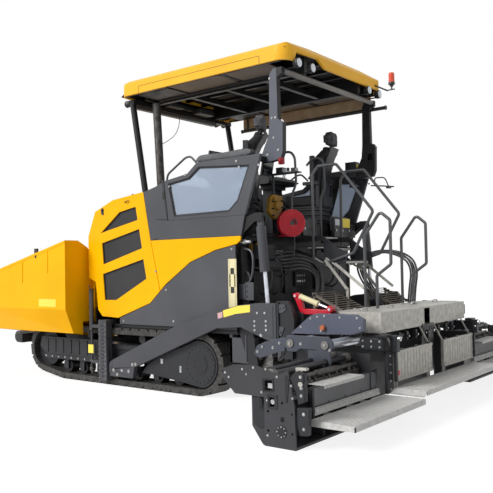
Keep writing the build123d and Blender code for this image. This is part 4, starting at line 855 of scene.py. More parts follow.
CROWN_Y = 1150
crown = Piece()
crown.xz([(-2000, 1195), (-2060, 1210), (-2100, 1160), (-2130, 1040), (-2090, 1000), (-2040, 1120)],
    CROWN_Y - 24, CROWN_Y + 24)
for y in (CROWN_Y - 30, CROWN_Y + 16):
    crown.xz([(-2085, 1040), (-2110, 985), (-2440, 985), (-2470, 1000), (-2470, 1030), (-2200, 1040)],
        y, y + 14)
crown.rod((-2455, CROWN_Y - 36, 1042), (-2455, CROWN_Y + 36, 1042), 36, n=28)
crown.rod((-2040, CROWN_Y - 32, 1175), (-2040, CROWN_Y + 32, 1175), 26, n=24)
crown.put("crown_links", RED, "screed", 4)
barrel = Piece()
barrel.rod((-2090, CROWN_Y, 1166), (-2300, CROWN_Y, 1094), 29, n=28)
barrel.rod((-2290, CROWN_Y, 1097), (-2306, CROWN_Y, 1092), 33, n=28)
barrel.rod((-2084, CROWN_Y, 1168), (-2100, CROWN_Y, 1162), 33, n=28)
barrel.put("crown_barrel", CREAM, "screed", 2)
rod = Piece().rod((-2300, CROWN_Y, 1094), (-2420, CROWN_Y, 1053), 13, n=20)
rod.rod((-2455, CROWN_Y + 30, 1042), (-2455, CROWN_Y + 42, 1042), 16, n=6)
rod.rod((-2040, CROWN_Y + 32, 1175), (-2040, CROWN_Y + 42, 1175), 13, n=6)
rod.put("crown_rod", CHROME, "screed")
foot = Piece().box(-2140, -2080, CROWN_Y - 40, CROWN_Y + 40, 825, 1000)
foot.box(-2480, -2410, CROWN_Y - 40, CROWN_Y + 40, 825, 985)
foot.put("crown_feet", BLACK, "screed", 3)


# ---- seats and pads ----
PRESSURE = 4
CLOTH_FRAMES = 20
RELAX_STEPS = 8


def baked(obj):
    """The object's evaluated mesh, with its modifiers gone."""
    mesh = bpy.data.meshes.new_from_object(obj.evaluated_get(bpy.context.evaluated_depsgraph_get()))
    obj.modifiers.clear()
    obj.data = mesh
    return mesh


def swell(obj, cap):
    """Cloth with inner pressure, each point moved by the cap at most."""
    rest = [v.co.copy() for v in obj.data.vertices]
    cloth = obj.modifiers.new("cloth", "CLOTH")
    cloth.settings.quality = 4
    cloth.settings.mass = 0.3
    cloth.settings.tension_stiffness = 12
    cloth.settings.compression_stiffness = 12
    cloth.settings.use_pressure = True
    cloth.settings.uniform_pressure_force = PRESSURE
    cloth.settings.effector_weights.gravity = 0
    cloth.collision_settings.use_collision = False
    cloth.point_cache.frame_start = 1
    cloth.point_cache.frame_end = CLOTH_FRAMES
    for f in range(1, CLOTH_FRAMES + 1):
        SCENE.frame_set(f)
    mesh = baked(obj)
    SCENE.frame_set(1)
    for v, old in zip(mesh.vertices, rest):
        move = v.co - old
        if move.length > cap * MM:
            v.co = old + move * (cap * MM / move.length)


def pad_mesh(name, piece, voxel, cap):
    """One crowned closed form from a rough shape."""
    mesh = bpy.data.meshes.new(name)
    mesh.from_pydata([v * MM for v in piece.verts], [], piece.faces)
    obj = linked(f"{name}_work", mesh)
    remesh = obj.modifiers.new("remesh", "REMESH")
    remesh.mode = "VOXEL"
    remesh.voxel_size = voxel * MM
    relax = obj.modifiers.new("relax", "SMOOTH")
    relax.iterations = RELAX_STEPS
    relax.factor = 0.5
    mesh = baked(obj)
    swell(obj, cap)
    mesh = obj.data
    bpy.data.objects.remove(obj)
    return mesh


def put_pad(name, mesh, finish, body, turn):
    mesh = mesh.copy()
    mesh.transform(turn)
    mesh.materials.clear()
    mesh.materials.append(finish)
    mesh.polygons.foreach_set("use_smooth", [True] * len(mesh.polygons))
    obj = linked(name, mesh)
    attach(obj, body)
    return obj


def slanted(piece, line, thick, y0, y1):
    """Slab along a line of (x, z) points, from its front face backwards."""
    back = [(x - thick, z - thick * 0.12) for x, z in reversed(line)]
    return piece.xz(list(line) + back, y0, y1)


def cushion_shape():
    piece = Piece()
    piece.xz([(-140, 2300), (225, 2300), (262, 2325), (262, 2362), (225, 2382), (-140, 2372)], -172, 172)
    for y in (-228, 152):
        piece.xz([(-120, 2300), (225, 2300), (258, 2325), (255, 2372), (215, 2398), (-120, 2392)], y,
            y + 76)
    return piece


def back_shape(line):
    piece = Piece()
    slanted(piece, line, 78, -150, 150)
    wing = [(x + 34, z) for x, z in line[:-1]] + [(line[-1][0] + 8, line[-1][1] - 60)]
    for y in (-222, 132):
        slanted(piece, wing, 100, y, y + 90)
    return piece


def head_shape(x, z):
    piece = Piece()
    piece.yz([(-112, z), (-128, z + 60), (-120, z + 150), (-88, z + 182), (88, z + 182), (120, z + 150),
        (128, z + 60), (112, z)], x - 92, x)
    for y in (-132, 96):
        piece.box(x - 60, x + 26, y, y + 36, z + 30, z + 140)
    return piece


NEAR_BACK = ((-68, 2400), (-70, 2620), (-52, 2800), (-110, 2930), (-205, 3080))
FAR_BACK = ((-70, 2400), (-75, 2600), (-110, 2790), (-155, 2940), (-222, 3085))
CUSHION = pad_mesh("seat_pad", cushion_shape(), 8, 14)
HEAD = pad_mesh("head_pad", head_shape(0, 0), 7, 8)
SEATS = (("near", 785, 30, NEAR_BACK, (-196, 3098)), ("far", -785, 12, FAR_BACK, (-232, 3100)))
for which, y, yaw, line, head in SEATS:
    turn = Matrix.Translation(Vector((-1040, y, 0)) * MM) @ Matrix.Rotation(radians(yaw), 4, "Z")
    cushion = put_pad(f"seat_pad_{which}", CUSHION, FABRIC, "root", turn)
    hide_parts("seat_cushions")
    put_pad(f"back_pad_{which}", pad_mesh("back_pad", back_shape(line), 8, 12), FABRIC, "root", turn)
    put_pad(f"head_pad_{which}", HEAD, HEAD_CLOTH, "root", turn @ Matrix.Translation(Vector((head[0],
        0, head[1])) * MM))
    hard = Piece()
    spine = [(x - 96, z - 12) for x, z in line]
    slanted(hard, spine, 20, -150, 150)
    for side in (-70, 70):
        hard.rod((head[0] - 50, side, head[1] - 60), (head[0] - 50, side, head[1] + 40), 8, n=10)
    hard.box(-190, 230, -190, 190, 2262, 2300).box(-220, -150, -170, 170, 2280, 2420)
    for side in (-262, 262):
        hard.box(-180, 40, side - 26, side + 26, 2560, 2604)
        hard.box(-180, -140, side - 14, side + 14, 2280, 2560)
    upright = 262 if which == "near" else 250
    hard.box(-120, -60, upright - 26, upright + 26, 2604, 2950)
    for i in range(6):
        low, wide = 2060 + 34 * i, 176 + 16 * (i % 2)
        hard.box(-wide, wide, -wide, wide, low, low + 26)
        hard.box(-wide + 22, wide - 22, -wide + 22, wide - 22, low + 26, low + 34)
    hard.box(-150, 150, -150, 150, DECK_TOP, 2060)
    hard.verts = [turn @ (v * MM) / MM for v in hard.verts]
    frame_obj = hard.put(f"seat_frame_{which}", PLASTIC, "root", 7)
    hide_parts("seat_bases")

cap = Piece()
CAP = ((-1455, 2722), (-1530, 2738), (-1540, 2770), (-1490, 2796), (-1300, 2792), (-1090, 2784),
    (-900, 2792), (-780, 2796), (-742, 2772), (-716, 2742), (-750, 2722))
cap.xz(CAP, SIDE - 104, SIDE - 6)
CAP_MESH = pad_mesh("wall_cap", cap, 8, 8)
for which, flip in (("left", 1), ("right", -1)):
    turn = Matrix.Scale(flip, 4, (0, 1, 0))
    cap_obj = put_pad(f"wall_cap_{which}", CAP_MESH, PAD_GREY, "root", turn)
    if flip < 0:
        cap_obj.data.flip_normals()
    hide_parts("cab_caps")

# control desks: columns, sloping tops, screens and levers
for which, s in (("left", 1), ("right", -1)):
    desk = Piece()
    mid = 560 * s
    desk.box(-600, -440, mid - 120, mid + 120, DECK_TOP, 2600)
    desk.xz([(-700, 2640), (-680, 2600), (-420, 2600), (-400, 2650), (-400, 2760), (-690, 2690)],
        mid - 320, mid + 320)
    desk.box(-640, -420, mid - 150, mid + 150, 2540, 2610)
    desk.tube([(-690, mid - 300, 2650), (-760, mid - 300, 2640), (-760, mid + 300, 2640),
        (-690, mid + 300, 2650)], 12, 40)
    desk_obj = desk.put(f"console_{which}", PLASTIC, "root", 8)
    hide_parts("consoles")
    parts = Piece()
    parts.xz([(-430, 2752), (-398, 2756), (-440, 2962), (-470, 2958)], mid - 125, mid + 125)
    for y in (-240, -200, 200, 240):
        parts.rod((-560, mid + y, 2722), (-575, mid + y, 2790), 7).ball((-576, mid + y, 2800), 17)
    parts.put(f"console_screen_{which}", PLASTIC, "root", 4)
    glass = Piece()
    glass.xz([(-441, 2780), (-437, 2781), (-471, 2940), (-475, 2939)], mid - 105, mid + 105)
    glass.put(f"console_glass_{which}", SCREEN_GLASS, "root")
    keys = Piece()
    for i in range(5):
        for j in range(3):
            y, x = mid - 160 + 34 * i, -660 + 36 * j
            z = 2697 + (x + 690) * 0.241
            keys.box(x, x + 22, y, y + 22, z, z + 9)
    keys.put(f"console_keys_{which}", LIGHT_PLASTIC, "root", 2)


# ---- canopy ----
ROOF_Y = 1130
ROOF_Z = 3740
lining = Piece()
lining.box(-1912, 552, -1094, 1094, 3874, 3878)
lining.box(-1840, 552, 1096, 1098, ROOF_Z + 2, 3878).box(-1840, 552, -1098, -1096, ROOF_Z + 2, 3878)
lining.add([(552, -1098, 3829), (704, -1098, 3745), (704, 1098, 3745), (552, 1098, 3829),
    (552, -1098, 3833), (706, -1098, 3749), (706, 1098, 3749), (552, 1098, 3833)], [(0, 3, 2, 1),
    (4, 5, 6, 7), (0, 1, 5, 4), (1, 2, 6, 5), (2, 3, 7, 6), (3, 0, 4, 7)])
for s in (1, -1):
    ring = [(-1798 - 118 * sin(radians(t)), s * (980 + 118 * cos(radians(t)))) for t in range(0, 91, 15)]
    for (x0, y0), (x1, y1) in zip(ring, ring[1:]):
        lining.add([(x0, y0, 3800), (x1, y1, 3800), (x1, y1, 3878), (x0, y0, 3878)], [(0, 1, 2, 3)])
lining.put("roof_lining", ROOF_UNDER, "root")
ribs = Piece()
for x in (-1500, -1060, -420, 180):
    ribs.box(x, x + 50, -1090, 1090, 3820, 3874)
for y in (-330, 0, 330):
    ribs.box(-1880, 540, y - 22, y + 22, 3835, 3874)
ribs.put("roof_ribs", BLACK_DEEP, "root", 4)
lip = Piece().box(-1840, 640, 1070, 1098, ROOF_Z - 6, ROOF_Z + 12).box(-1600, 420, 655, 690, 3712, ROOF_Z)
lip.mirror().put("roof_inner_lips", BLACK, "root", 3)
seam = Piece()
seam.box(343, 349, ROOF_Y, ROOF_Y + 1.2, ROOF_Z, 3828).box(-1591, -1585, ROOF_Y, ROOF_Y + 1.2, ROOF_Z, 3828)
seam.box(-1591, 349, ROOF_Y, ROOF_Y + 1.2, 3825, 3830)
seam.mirror().put("roof_seams", SEAM, "root")

soffits = Piece().box(-1645, -116, 652, 1098, 3742, 3750).mirror()
soffit_obj = soffits.put("canopy_soffits", SOFFIT, "root", 2)
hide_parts("awnings")
strap = Piece().box(-1010, -945, 652, 1098, 3734, 3742).box(-1645, -116, 652, 680, 3730, 3742)
strap.box(-130, -100, 652, 1098, 3725, 3750).box(-90, 420, 655, 1060, 3730, 3760)
strap.mirror().put("canopy_straps", BLACK_DEEP, "root", 2)

SCREEN_LOW, SCREEN_TOP = 3585, 3738
rows, cols = 8, 60
verts = []
for j in range(rows + 1):
    for i in range(cols + 1):
        t, u = i / cols, j / rows
        wave = 5 * sin(t * 2 * pi * 5 + 0.6) * (u * (1 - u) * 4) + 2 * sin(t * 2 * pi * 13)
        verts.append((-1780 + 2180 * t, -1115 + wave, SCREEN_TOP + (SCREEN_LOW - SCREEN_TOP) * u))
row = cols + 1
faces = [(j * row + i, j * row + i + 1, (j + 1) * row + i + 1, (j + 1) * row + i)
         for j in range(rows) for i in range(cols)]
cloth = Piece().add(verts, faces).put("side_screen", AWNING, "root")
thick = cloth.modifiers.new("thickness", "SOLIDIFY")
thick.thickness = 0.0012
roll = Piece().rod((-1990, -1115, 3565), (420, -1115, 3565), 24, n=24)
roll.rod((-2004, -1115, 3565), (-1990, -1115, 3565), 30, n=24)
roll.rod((420, -1115, 3565), (434, -1115, 3565), 30, n=24)
for x in (-1700, 300):
    roll.box(x, x + 30, -1122, -1108, 3580, 3740)
roll_obj = roll.put("side_screen_roll", PLASTIC, "root", 2)

lamps = Piece()
lenses = Piece()
for y, z in ((947, 3714), (667, 3714), (-947, 3714), (-667, 3714)):
    lamps.rod((-1932, y, z), (-1975, y, z), 38, 54, n=32).rod((-1975, y, z), (-2000, y, z), 54, n=32)
    lamps.box(-2000, -1840, y - 12, y + 12, 3668.4, 3680).box(-1965, -1950, y - 30, y + 30, 3662, 3714)
    lenses.rod((-2000, y, z), (-2004, y, z), 47, n=32).rod((-2004, y, z), (-2008, y, z), 40, 30, n=32)
for y, z in ((914, 3698), (-914, 3698), (-1090, 3712)):
    lamps.rod((730, y, z), (780, y, z), 34, 46, n=32).rod((780, y, z), (800, y, z), 46, n=32)
    lamps.box(640, 760, y - 16, y + 16, 3716, 3740)
    lenses.rod((800, y, z), (804, y, z), 40, n=32)
lamps_obj = lamps.put("lamp_housings", PLASTIC, "root", 2)
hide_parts("lamps")
lenses.put("lamp_faces", CLEAR, "root", 1)

bar = Piece()
bar.xz([(600, 3640), (615, 3618), (690, 3618), (705, 3650), (700, 3735), (610, 3745)], -706, 891)
bar.put("light_bar", PLASTIC, "root", 6)
blanks = Piece()
for y in (760, 560, 330, 90, -160, -420, -620):
    blanks.box(598, 602, y - 55, y + 55, 3655, 3668)
blanks.put("light_bar_blanks", LIGHT_PLASTIC, "root", 1)
under = Piece()
under.box(520, 600, -700, 800, 3720, 3790).box(430, 560, 180, 460, 3700, 3760)
under.box(400, 560, -420, -120, 3690, 3770)
under.put("canopy_front_boxes", PLASTIC, "root", 10)
hose("canopy_wire", [(640, 60, 3640), (638, 62, 3570), (620, 110, 3470), (540, 260, 3340),
    (430, 520, 3210), (320, 760, 3120), (301, 806, 3092)], 9, BLACK_RUBBER_AND_SHADE)

dome = Piece()
dome.rod((-2025, -1250, 3925), (-2025, -1250, 4045), 40, 38, n=36).ball((-2025, -1250, 4043), 38, 24, 0.4)
for i in range(3):
    dome.rod((-2025, -1250, 3945 + 32 * i), (-2025, -1250, 3950 + 32 * i), 42, n=36)
dome.put("beacon_dome", BEACON, "root", 1)
stand = Piece()
stand.rod((-2025, -1250, 3895), (-2025, -1250, 3926), 46, 42, n=36)
stand.rod((-2025, -1250, 3832), (-2025, -1250, 3896), 11)
stand.rod((-2025, -1250, 3870), (-2025, -1250, 3896), 26, n=24)
stand.box(-2070, -1950, -1262, -1238, 3820, 3832).box(-1962, -1950, -1262, -910, 3815, 3835)
stand_obj = stand.put("beacon_stand", PLASTIC, "root", 2)
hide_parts("beacon")

POST = [(-1570, 2729), (-1602, 2799), (-1666, 2922), (-1680, 3083), (-1690, 3600), (-1740, 3668),
    (-1795, 3668), (-1795, 3560), (-1800, 3110), (-1867, 3056), (-1859, 2737), (-1828, 2660),
    (-1699, 2642), (-1570, 2642)]
face = Piece()
face.xz(inset(POST, 4), 1090, 1093)
face.put("post_face", POST_GREY, "root", 1)
post_trim = Piece()
for x, z in ((-1720, 3120), (-1770, 3120), (-1650, 2720), (-1800, 2760), (-1740, 2900), (-1700, 3560)):
    bolt(post_trim, (x, 1093, z), r=9)
post_trim.rod((-1832, 1062, 3063), (-1832, 1074, 3063), 30, n=28).mirror()
post_trim.put("post_bolts", ZINC, "root", 1)
# black disc in each eye: painted shade inside the hole
eye_hole_shade = Piece().rod((-1832, 1074, 3063), (-1832, 1075, 3063), 14, n=20).mirror()
eye_hole_shade.put("post_eye_hole_shade", BLACK_RUBBER_AND_SHADE, "root")
Piece().rod((-1830, -1020, 3640), (-1830, 1020, 3640), 31, n=24).put("crossbar_sleeve", BAR_GREY, "root")
Piece().box(-1832, -1756, -1100, -1030, 2875, 2967).put("post_plate", TAG_YELLOW, "root", 1)
Piece().box(-1858, -1802, 1060, 1105, 2600, 2670).ball((-1830, 1105, 2635), 26, 16,
    1).put("rear_reflector", RED_DARK, "root", 3)

lining = Piece().box(-930, -250, -1222, -1216, 2062, 2500)
lining.xz([(-1148, 2759), (-1249, 2732), (-1010, 2000), (-880, 2000)], -1226, -1190)
lining.put("far_wall_lining", BLACK_DEEP, "root", 3)


# ---- screed ----
TUBE_Z = 745
TUBES_X = (-2180, -2330, -2590, -2720)
THIRD = Vector((-2080, 712))   # the thin tube in front, X and Z
SIDE_TOP = [(-2067, 793), (-2310, 984), (-2380, 1007), (-2827, 1007), (-2917, 964), (-2917, 850),
    (-2790, 812), (-2440, 800)]
COLUMN = [(-1885, 493), (-1885, 1124), (-2016, 1127), (-2064, 1070), (-2100, 940), (-2100, 760),
    (-2010, 700), (-1960, 560)]
END = [(-2000, 0), (-2000, 805), (-2790, 805), (-2790, 690), (-2460, 690), (-2460, 0)]


def sleeve(piece, x, z, y0, y1, outer, inner, n=28):
    """Open tube along y, so that what slides in it touches nothing."""
    points = [(x + r * cos(2 * pi * i / n), y, z + r * sin(2 * pi * i / n))
              for r, y in ((outer, y0), (outer, y1), (inner, y1), (inner, y0)) for i in range(n)]
    faces = [(k * n + i, k * n + (i + 1) % n, ((k + 1) % 4) * n + (i + 1) % n, ((k + 1) % 4) * n + i)
             for k in range(4) for i in range(n)]
    return piece.add(points, faces)


base = Piece().xz([(-2000, 0), (-2000, 640), (-2460, 640), (-2460, 0)], 1225, 1245)
base.xz(COLUMN, 1245, 1300).xz([(-1960, 520), (-1960, 790), (-2067, 800), (-2067, 520)], 1225,
    1290).mirror()
base.box(-2790, -2000, -1265, 1265, 805, 825).box(-2015, -2000, -1245, 1245, 20, 805)
base.box(-2460, -2445, -1245, 1245, 20, 690).box(-2460, -2000, -1245, 1245, 0, 20)
for y in (-1070, 1050):
    base.xz(END, y, y + 20)
base.xz([(-2000, 0), (-2000, 680), (-2460, 680), (-2460, 0)], -10, 10)
base.box(-2990, -2970, -158, 158, 300, 800)
for x in TUBES_X:
    sleeve(base, x, TUBE_Z, -1073, 1073, 56, 48)
base_obj = base.put("screed_body", BLACK, "screed", 3)
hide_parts("screed_base")
sides = Piece().xz(SIDE_TOP, 1265, 1325).mirror()
sides.put("screed_side_plates", SCREED_BLUE, "screed", 4)
collars = Piece()
for x in TUBES_X:
    sleeve(collars, x, TUBE_Z, 1071, 1096, 67, 48, 32)
collars.mirror().put("tube_collars", BAR_GREY, "screed", 2)
bolts_xz("screed_side_bolts", ((-2850, 975), (-2481, 985), (-2400, 975), (-2660, 975), (-2320, 955),
    (-2880, 880), (-2200, 865), (-2440, 835)), 1325, "screed", r=8)
knob = Piece().rod((-2471, 1325, 869), (-2471, 1340, 869), 12)
knob.rod((-2471, 1340, 869), (-2471, 1365, 869), 30, 24, n=24)
knob.mirror().put("screed_knobs", ORANGE, "screed", 2)
column = Piece()
column.xz([(-1900, 1000), (-1900, 1090), (-1990, 1090), (-2010, 1040), (-1960, 1000)], 1300, 1310)
column.xz([(-1900, 760), (-1900, 860), (-1980, 850), (-1940, 760)], 1300, 1310)
column.xz([(-1890, 500), (-1890, 700), (-1935, 690), (-1935, 560)], 1300, 1308)
for x, z in ((-1930, 1050), (-1975, 1060), (-1930, 800)):
    bolt(column, (x, 1310, z), r=10)
column.mirror().put("column_plates", PANEL_GREY, "screed", 2)
inner = Piece()
inner.box(-1506, -1150, 1180, 1200, 420, 700).box(-1190, -1150, 1120, 1200, 420, 760)
inner.box(-1500, -1460, 1120, 1200, 420, 700)
inner.box(-1400, -1380, 1200, 1212, 440, 740)
inner.mirror().put("auger_side_plates", PANEL_GREY, "root", 3)

posts = Piece()
posts.box(-3077, -3047, 1045, 1160, 240, 640).box(-3160, -3085, 1050, 1110, 640, 800)
posts.box(-3067, -2832, 1150, 1240, 668, 776)
posts.box(-3130, -3106, 1040, 1075, 350, 800).box(-3090, -3000, 1085, 1200, 780, 812)
posts.mirror().put("cover_columns", BLACK, "screed", 4)
bits = Piece()
for x, z in ((-2860, 750), (-2950, 750), (-3040, 750), (-2860, 695), (-2950, 695), (-3040, 695)):
    bolt(bits, (x, 1240, z), r=8)
for z in (280, 360, 440, 520, 600):
    bolt(bits, (-3077, 1100, z), axis=(-1, 0, 0), r=8)
bits.rod((-3160, 1080, 770), (-3185, 1080, 770), 24, n=24)
bits.rod((-3130, 1060, 720), (-3150, 1060, 720), 16, n=20)
bits.mirror().put("cover_column_bolts", ZINC, "screed", 1)
shut = Piece()
for y in range(190, 1054, 72):
    shut.box(-3108, -3105, y, y + 8, 372, 618)
shut.box(-3111, -3105, 160, 1030, 618, 640).box(-3111, -3105, 160, 1030, 345, 366)
shut.mirror().put("cover_ribs", GALVANISED, "screed", 1)
Piece().rod((-3108, 985, 425), (-3116, 985, 425), 24, n=28).put("cover_reflector", RED, "screed", 1)
hinges = Piece()
for y in (-900, -560, -220, 220, 560, 900):
    hinges.rod((-3098, y - 40, 648), (-3098, y + 40, 648), 9, n=14)
    hinges.box(-3110, -3092, y - 30, y + 30, 636, 650)
hinges.put("cover_hinges", BLACK, "screed", 1)
clutter = Piece()
clutter.box(-2980, -2800, -60, 60, 660, 800).box(-3020, -2980, -40, 50, 640, 760)
clutter.box(-3000, -2980, -150, 150, 800, 830)
for y in (-120, -70, 90, 140, 300, 520, 700, -300, -520, -700):
    clutter.box(-2996, -2960, y - 18, y + 18, 700, 790).rod((-2996, y, 740), (-3012, y, 740), 14, n=16)
clutter.put("screed_fittings", BLACK, "screed", 3)
eyes = Piece()
for y in (-120, 90, 300, 520, 700, -300, -520, -700):
    eyes.rod((-3012, y, 740), (-3018, y, 740), 9, n=16)
eyes.put("screed_fitting_caps", ZINC, "screed", 1)
top_bits = Piece()
for y in (-900, -300, 300, 900):
    top_bits.tube([(-2700, y - 60, 1016), (-2700, y - 60, 1042), (-2700, y + 60, 1042),
        (-2700, y + 60, 1016)], 7, 18)
for y in (-1085, -700, -460, 460, 700, 1085):
    top_bits.box(-2500, -2466, y - 22, y + 22, 1016, 1024)
top_bits.put("cover_handles", ZINC, "screed", 1)

for s, side in ((1, "left"), (-1, "right")):
    arm = Piece()
    arm.xz([(-1883, 620), (-1920, 700), (-2017, 742), (-2262, 800), (-2262, 668), (-2150, 640),
        (-1944, 575)], *sorted((s * 1682, s * 1708)))
    arm.put(f"yoke_arm_{side}", YOKE_GREY, f"yoke_{side}", 4)
    third = Piece().rod((THIRD.x, s * 400, THIRD.y), (THIRD.x, s * 1682, THIRD.y), 36, n=32)
    third.put(f"yoke_tube_{side}", CHROME, f"yoke_{side}")
    rings = Piece()
    own = (-2330, -2720) if s > 0 else (-2180, -2590)
    for x in own:
        rings.rod((x, s * 1664, TUBE_Z), (x, s * 1680, TUBE_Z), 58, 62, n=32)
        rings.rod((x, s * 1710, TUBE_Z), (x, s * 1722, TUBE_Z), 40, n=28)
    rings.rod((THIRD.x, s * 1664, THIRD.y), (THIRD.x, s * 1682, THIRD.y), 47, n=32)
    rings.put(f"yoke_collars_{side}", BAR_GREY, f"yoke_{side}", 2)
    heads = Piece()
    for x, z in ((-1930, 640), (-1990, 690), (-2120, 690), (-2200, 740), (own[0], TUBE_Z), (own[1],
            TUBE_Z), (-2770, 700), (-2450, 745)):
        bolt(heads, (x, s * (1722 if z == TUBE_Z and x in own else 1709), z), (0, s, 0), r=10)
    heads.put(f"yoke_bolts_{side}", ZINC, f"yoke_{side}")


# ---- screed extensions ----
PLATE_Y = 2605


@both_sides(BLACK, "extension", 3)
def end_bracket(piece):
    piece.xz([(-2925, 585), (-2985, 640), (-3070, 632), (-3075, 400), (-3005, 372), (-2985, 470)], 2560,
        2598)
    piece.xz([(-2985, 345), (-3100, 352), (-3085, 130), (-3010, 120), (-2985, 200)], 2540, 2590)
    piece.box(-3066, -3006, 2598, 2612, 560, 625).box(-3072, -3020, 2598, 2608, 400, 520)


@both_sides(BLACK, "extension", 1)
def end_frame(piece):
    for (x, z), r in (((-2607, 356), 40), ((-2841, 136), 52)):
        piece.rod((x, PLATE_Y, z), (x, PLATE_Y + 5, z), r, n=36)
        piece.rod((x, PLATE_Y + 5, z), (x, PLATE_Y + 9, z), r * 0.62, n=36)
    for window in (((-2664, 548), (-2664, 458), (-2762, 464), (-2762, 556)), ((-2714, 420),
            (-2714, 322), (-2796, 326), (-2796, 422))):
        ring_xz(piece, inset(list(window), -10), list(window), PLATE_Y, PLATE_Y + 5)
    piece.xz([(-2520, 400), (-2660, 400), (-2660, 170), (-2600, 120), (-2520, 160)], PLATE_Y - 44,
        PLATE_Y - 40)
    piece.xz([(-2900, 600), (-2925, 560), (-2905, 380), (-2885, 380), (-2885, 600)], PLATE_Y, PLATE_Y + 5)


@both_sides(ZINC, "extension")
def end_bolts(piece):
    for x, z in ((-2291, 539), (-2441, 618), (-2804, 582), (-2485, 579), (-2644, 441), (-2250, 575),
            (-2560, 640), (-2690, 636), (-2945, 520), (-2955, 420), (-2700, 90), (-2700, 380)):
        bolt(piece, (x, PLATE_Y, z), r=7, high=5)
    for i in range(8):
        t = 2 * pi * i / 8
        bolt(piece, (-2841 + 42 * cos(t), PLATE_Y + 5, 136 + 42 * sin(t)), r=4, high=2)
    for x, z in ((-3040, 600), (-3045, 450), (-3045, 510), (-3050, 300), (-3050, 180)):
        bolt(piece, (x, 2610 if z > 350 else 2590, z), r=9, high=5)
    piece.box(-2745, -2700, PLATE_Y - 30, PLATE_Y - 14, 480, 520)
    piece.rod((-2750, PLATE_Y - 40, 370), (-2750, PLATE_Y - 6, 370), 20)


@both_sides(GALVANISED, "extension", 2)
def end_caps(piece):
    piece.box(-3090, -2990, 2560, 2606, 652, 672).box(-2990, -2960, 2500, 2560, 560, 640)
    piece.rod((-3035, 2598, 540), (-3035, 2610, 540), 22, n=24)


# ribs painted lighter than the plate: painted glint
@both_sides(TREAD_RAISED_GLINT, "extension")
def ribbed_strip(piece):
    piece.box(-2984, -2950, 1150, 2330, 232, 250).box(-2962, -2950, 1150, 2330, 250, 289)
    for i in range(40):
        y = 1160 + 29 * i
        piece.box(-2986, -2962, y, y + 15, 250, 286)


@both_sides(TREAD, "extension")
def step_plate(piece):
    piece.box(-3040, -2870, 1560, 2240, 474, 480).box(-3040, -3034, 1560, 2240, 452, 474)
    piece.box(-2952, -2950, 1560, 2240, 440, 474)
    for i in range(22):
        for j in range(5):
            x, y = -3020 + 32 * j, 1580 + 30 * i + 15 * (j % 2)
            piece.xy([(x - 9, y), (x, y - 3), (x + 9, y), (x, y + 3)], 480, 482)


@both_sides(BLACK, "extension", 1)
def rear_trim(piece):
    piece.box(-2954, -2950, 1160, 2310, 455, 467).box(-2954, -2950, 1160, 2310, 290, 300)
    for y in (1180, 1470, 1760, 2050, 2290):
        bolt(piece, (-2950, y, 445), (-1, 0, 0), r=7, high=4)
        bolt(piece, (-2950, y, 312), (-1, 0, 0), r=7, high=4)
    piece.box(-2990, -2950, 2330, 2360, 205, 460)


@both_sides(PANEL_LIGHT, "extension", 1)
def rear_panel_face(piece):
    piece.box(-2953, -2950, 1162, 2308, 301, 454)


@both_sides(BAR_GREY, "extension", 2)
def guide_collars(piece):
    for x in (-2560, -2720):
        piece.rod((x, 1300, 590), (x, 1370, 590), 42, 38, n=32).rod((x, 2524, 590), (x, 2550, 590), 42,
            n=32)
        piece.rod((x, 2550, 590), (x, 2589, 590), 52, n=6)


@both_sides(STEEL, "extension", 2)
def inner_beam(piece):
    piece.box(-2900, -2600, 1300, 2580, 430, 442).box(-2860, -2800, 1320, 2560, 442, 500)
    piece.box(-2640, -2600, 1320, 2560, 442, 470)
    for y in (1420, 1650, 1880, 2110, 2340):
        piece.box(-2870, -2600, y, y + 14, 442, 520)
        piece.rod((-2830, y + 60, 500), (-2830, y + 60, 530), 20, n=20)
    piece.rod((-2830, 1330, 540), (-2830, 2300, 540), 20, n=20)
    piece.rod((-2830, 1700, 540), (-2830, 2060, 540), 30, n=24)


def tread_marks(piece, x0, x1, y0, y1, z, step):
    """Raised lozenges, each row turned against the next."""
    rows, cols = int((x1 - x0) / step), int((y1 - y0) / step)
    for i in range(rows):
        for j in range(cols):
            x, y = x0 + step * (i + 0.5), y0 + step * (j + 0.5)
            a, b = (0.4 * step, 0.11 * step) if (i + j) % 2 else (0.11 * step, 0.4 * step)
            piece.add([(x - a, y, z), (x, y - b, z), (x + a, y, z), (x, y + b, z), (x, y, z + 2.5)],
                [(0, 1, 4), (1, 2, 4), (2, 3, 4), (3, 0, 4), (0, 3, 2, 1)])
    return piece


@both_sides(TREAD, "extension")
def walk_rims(piece):
    piece.box(-3450, -3030, 2462, 2470, 180, 222).box(-3040, -3030, 1150, 2462, 196, 222)
    piece.box(-3442, -3040, 1150, 1158, 190, 222)


# lozenges painted lighter than the plate: painted glint
@both_sides(TREAD_RAISED_GLINT, "extension")
def walk_marks(piece):
    tread_marks(piece, -3440, -3034, 1150, 2460, 230, 27)


# lozenges painted lighter than the plate: painted glint
main_marks = tread_marks(Piece(), -3424, -3092, -1045, 1045, 290, 44)
main_marks.put("main_walk_marks", TREAD_RAISED_GLINT, "screed")


# ---- floor, light and camera ----
FLOOR_GLOW = 0.84         # seen directly, beside the light that falls on it
FLOOR_SHADED = 0.22
SKY_LIGHT = 0.38
KEY_FROM = (0.35, 0.75, 0.56)
KEY_WIDTH = 25            # degrees, for soft shadows
KEY_POWER = 2.9


def seen_directly(nodes, links):
    """1 for camera, glossy and transmission rays, 0 for the light that falls on things."""
    rays = nodes.new("ShaderNodeLightPath").outputs
    total = rays["Is Camera Ray"]
    for name in ("Is Glossy Ray", "Is Transmission Ray"):
        top = nodes.new("ShaderNodeMath")
        top.operation = "MAXIMUM"
        links.new(total, top.inputs[0])
        links.new(rays[name], top.inputs[1])
        total = top.outputs[0]
    return total


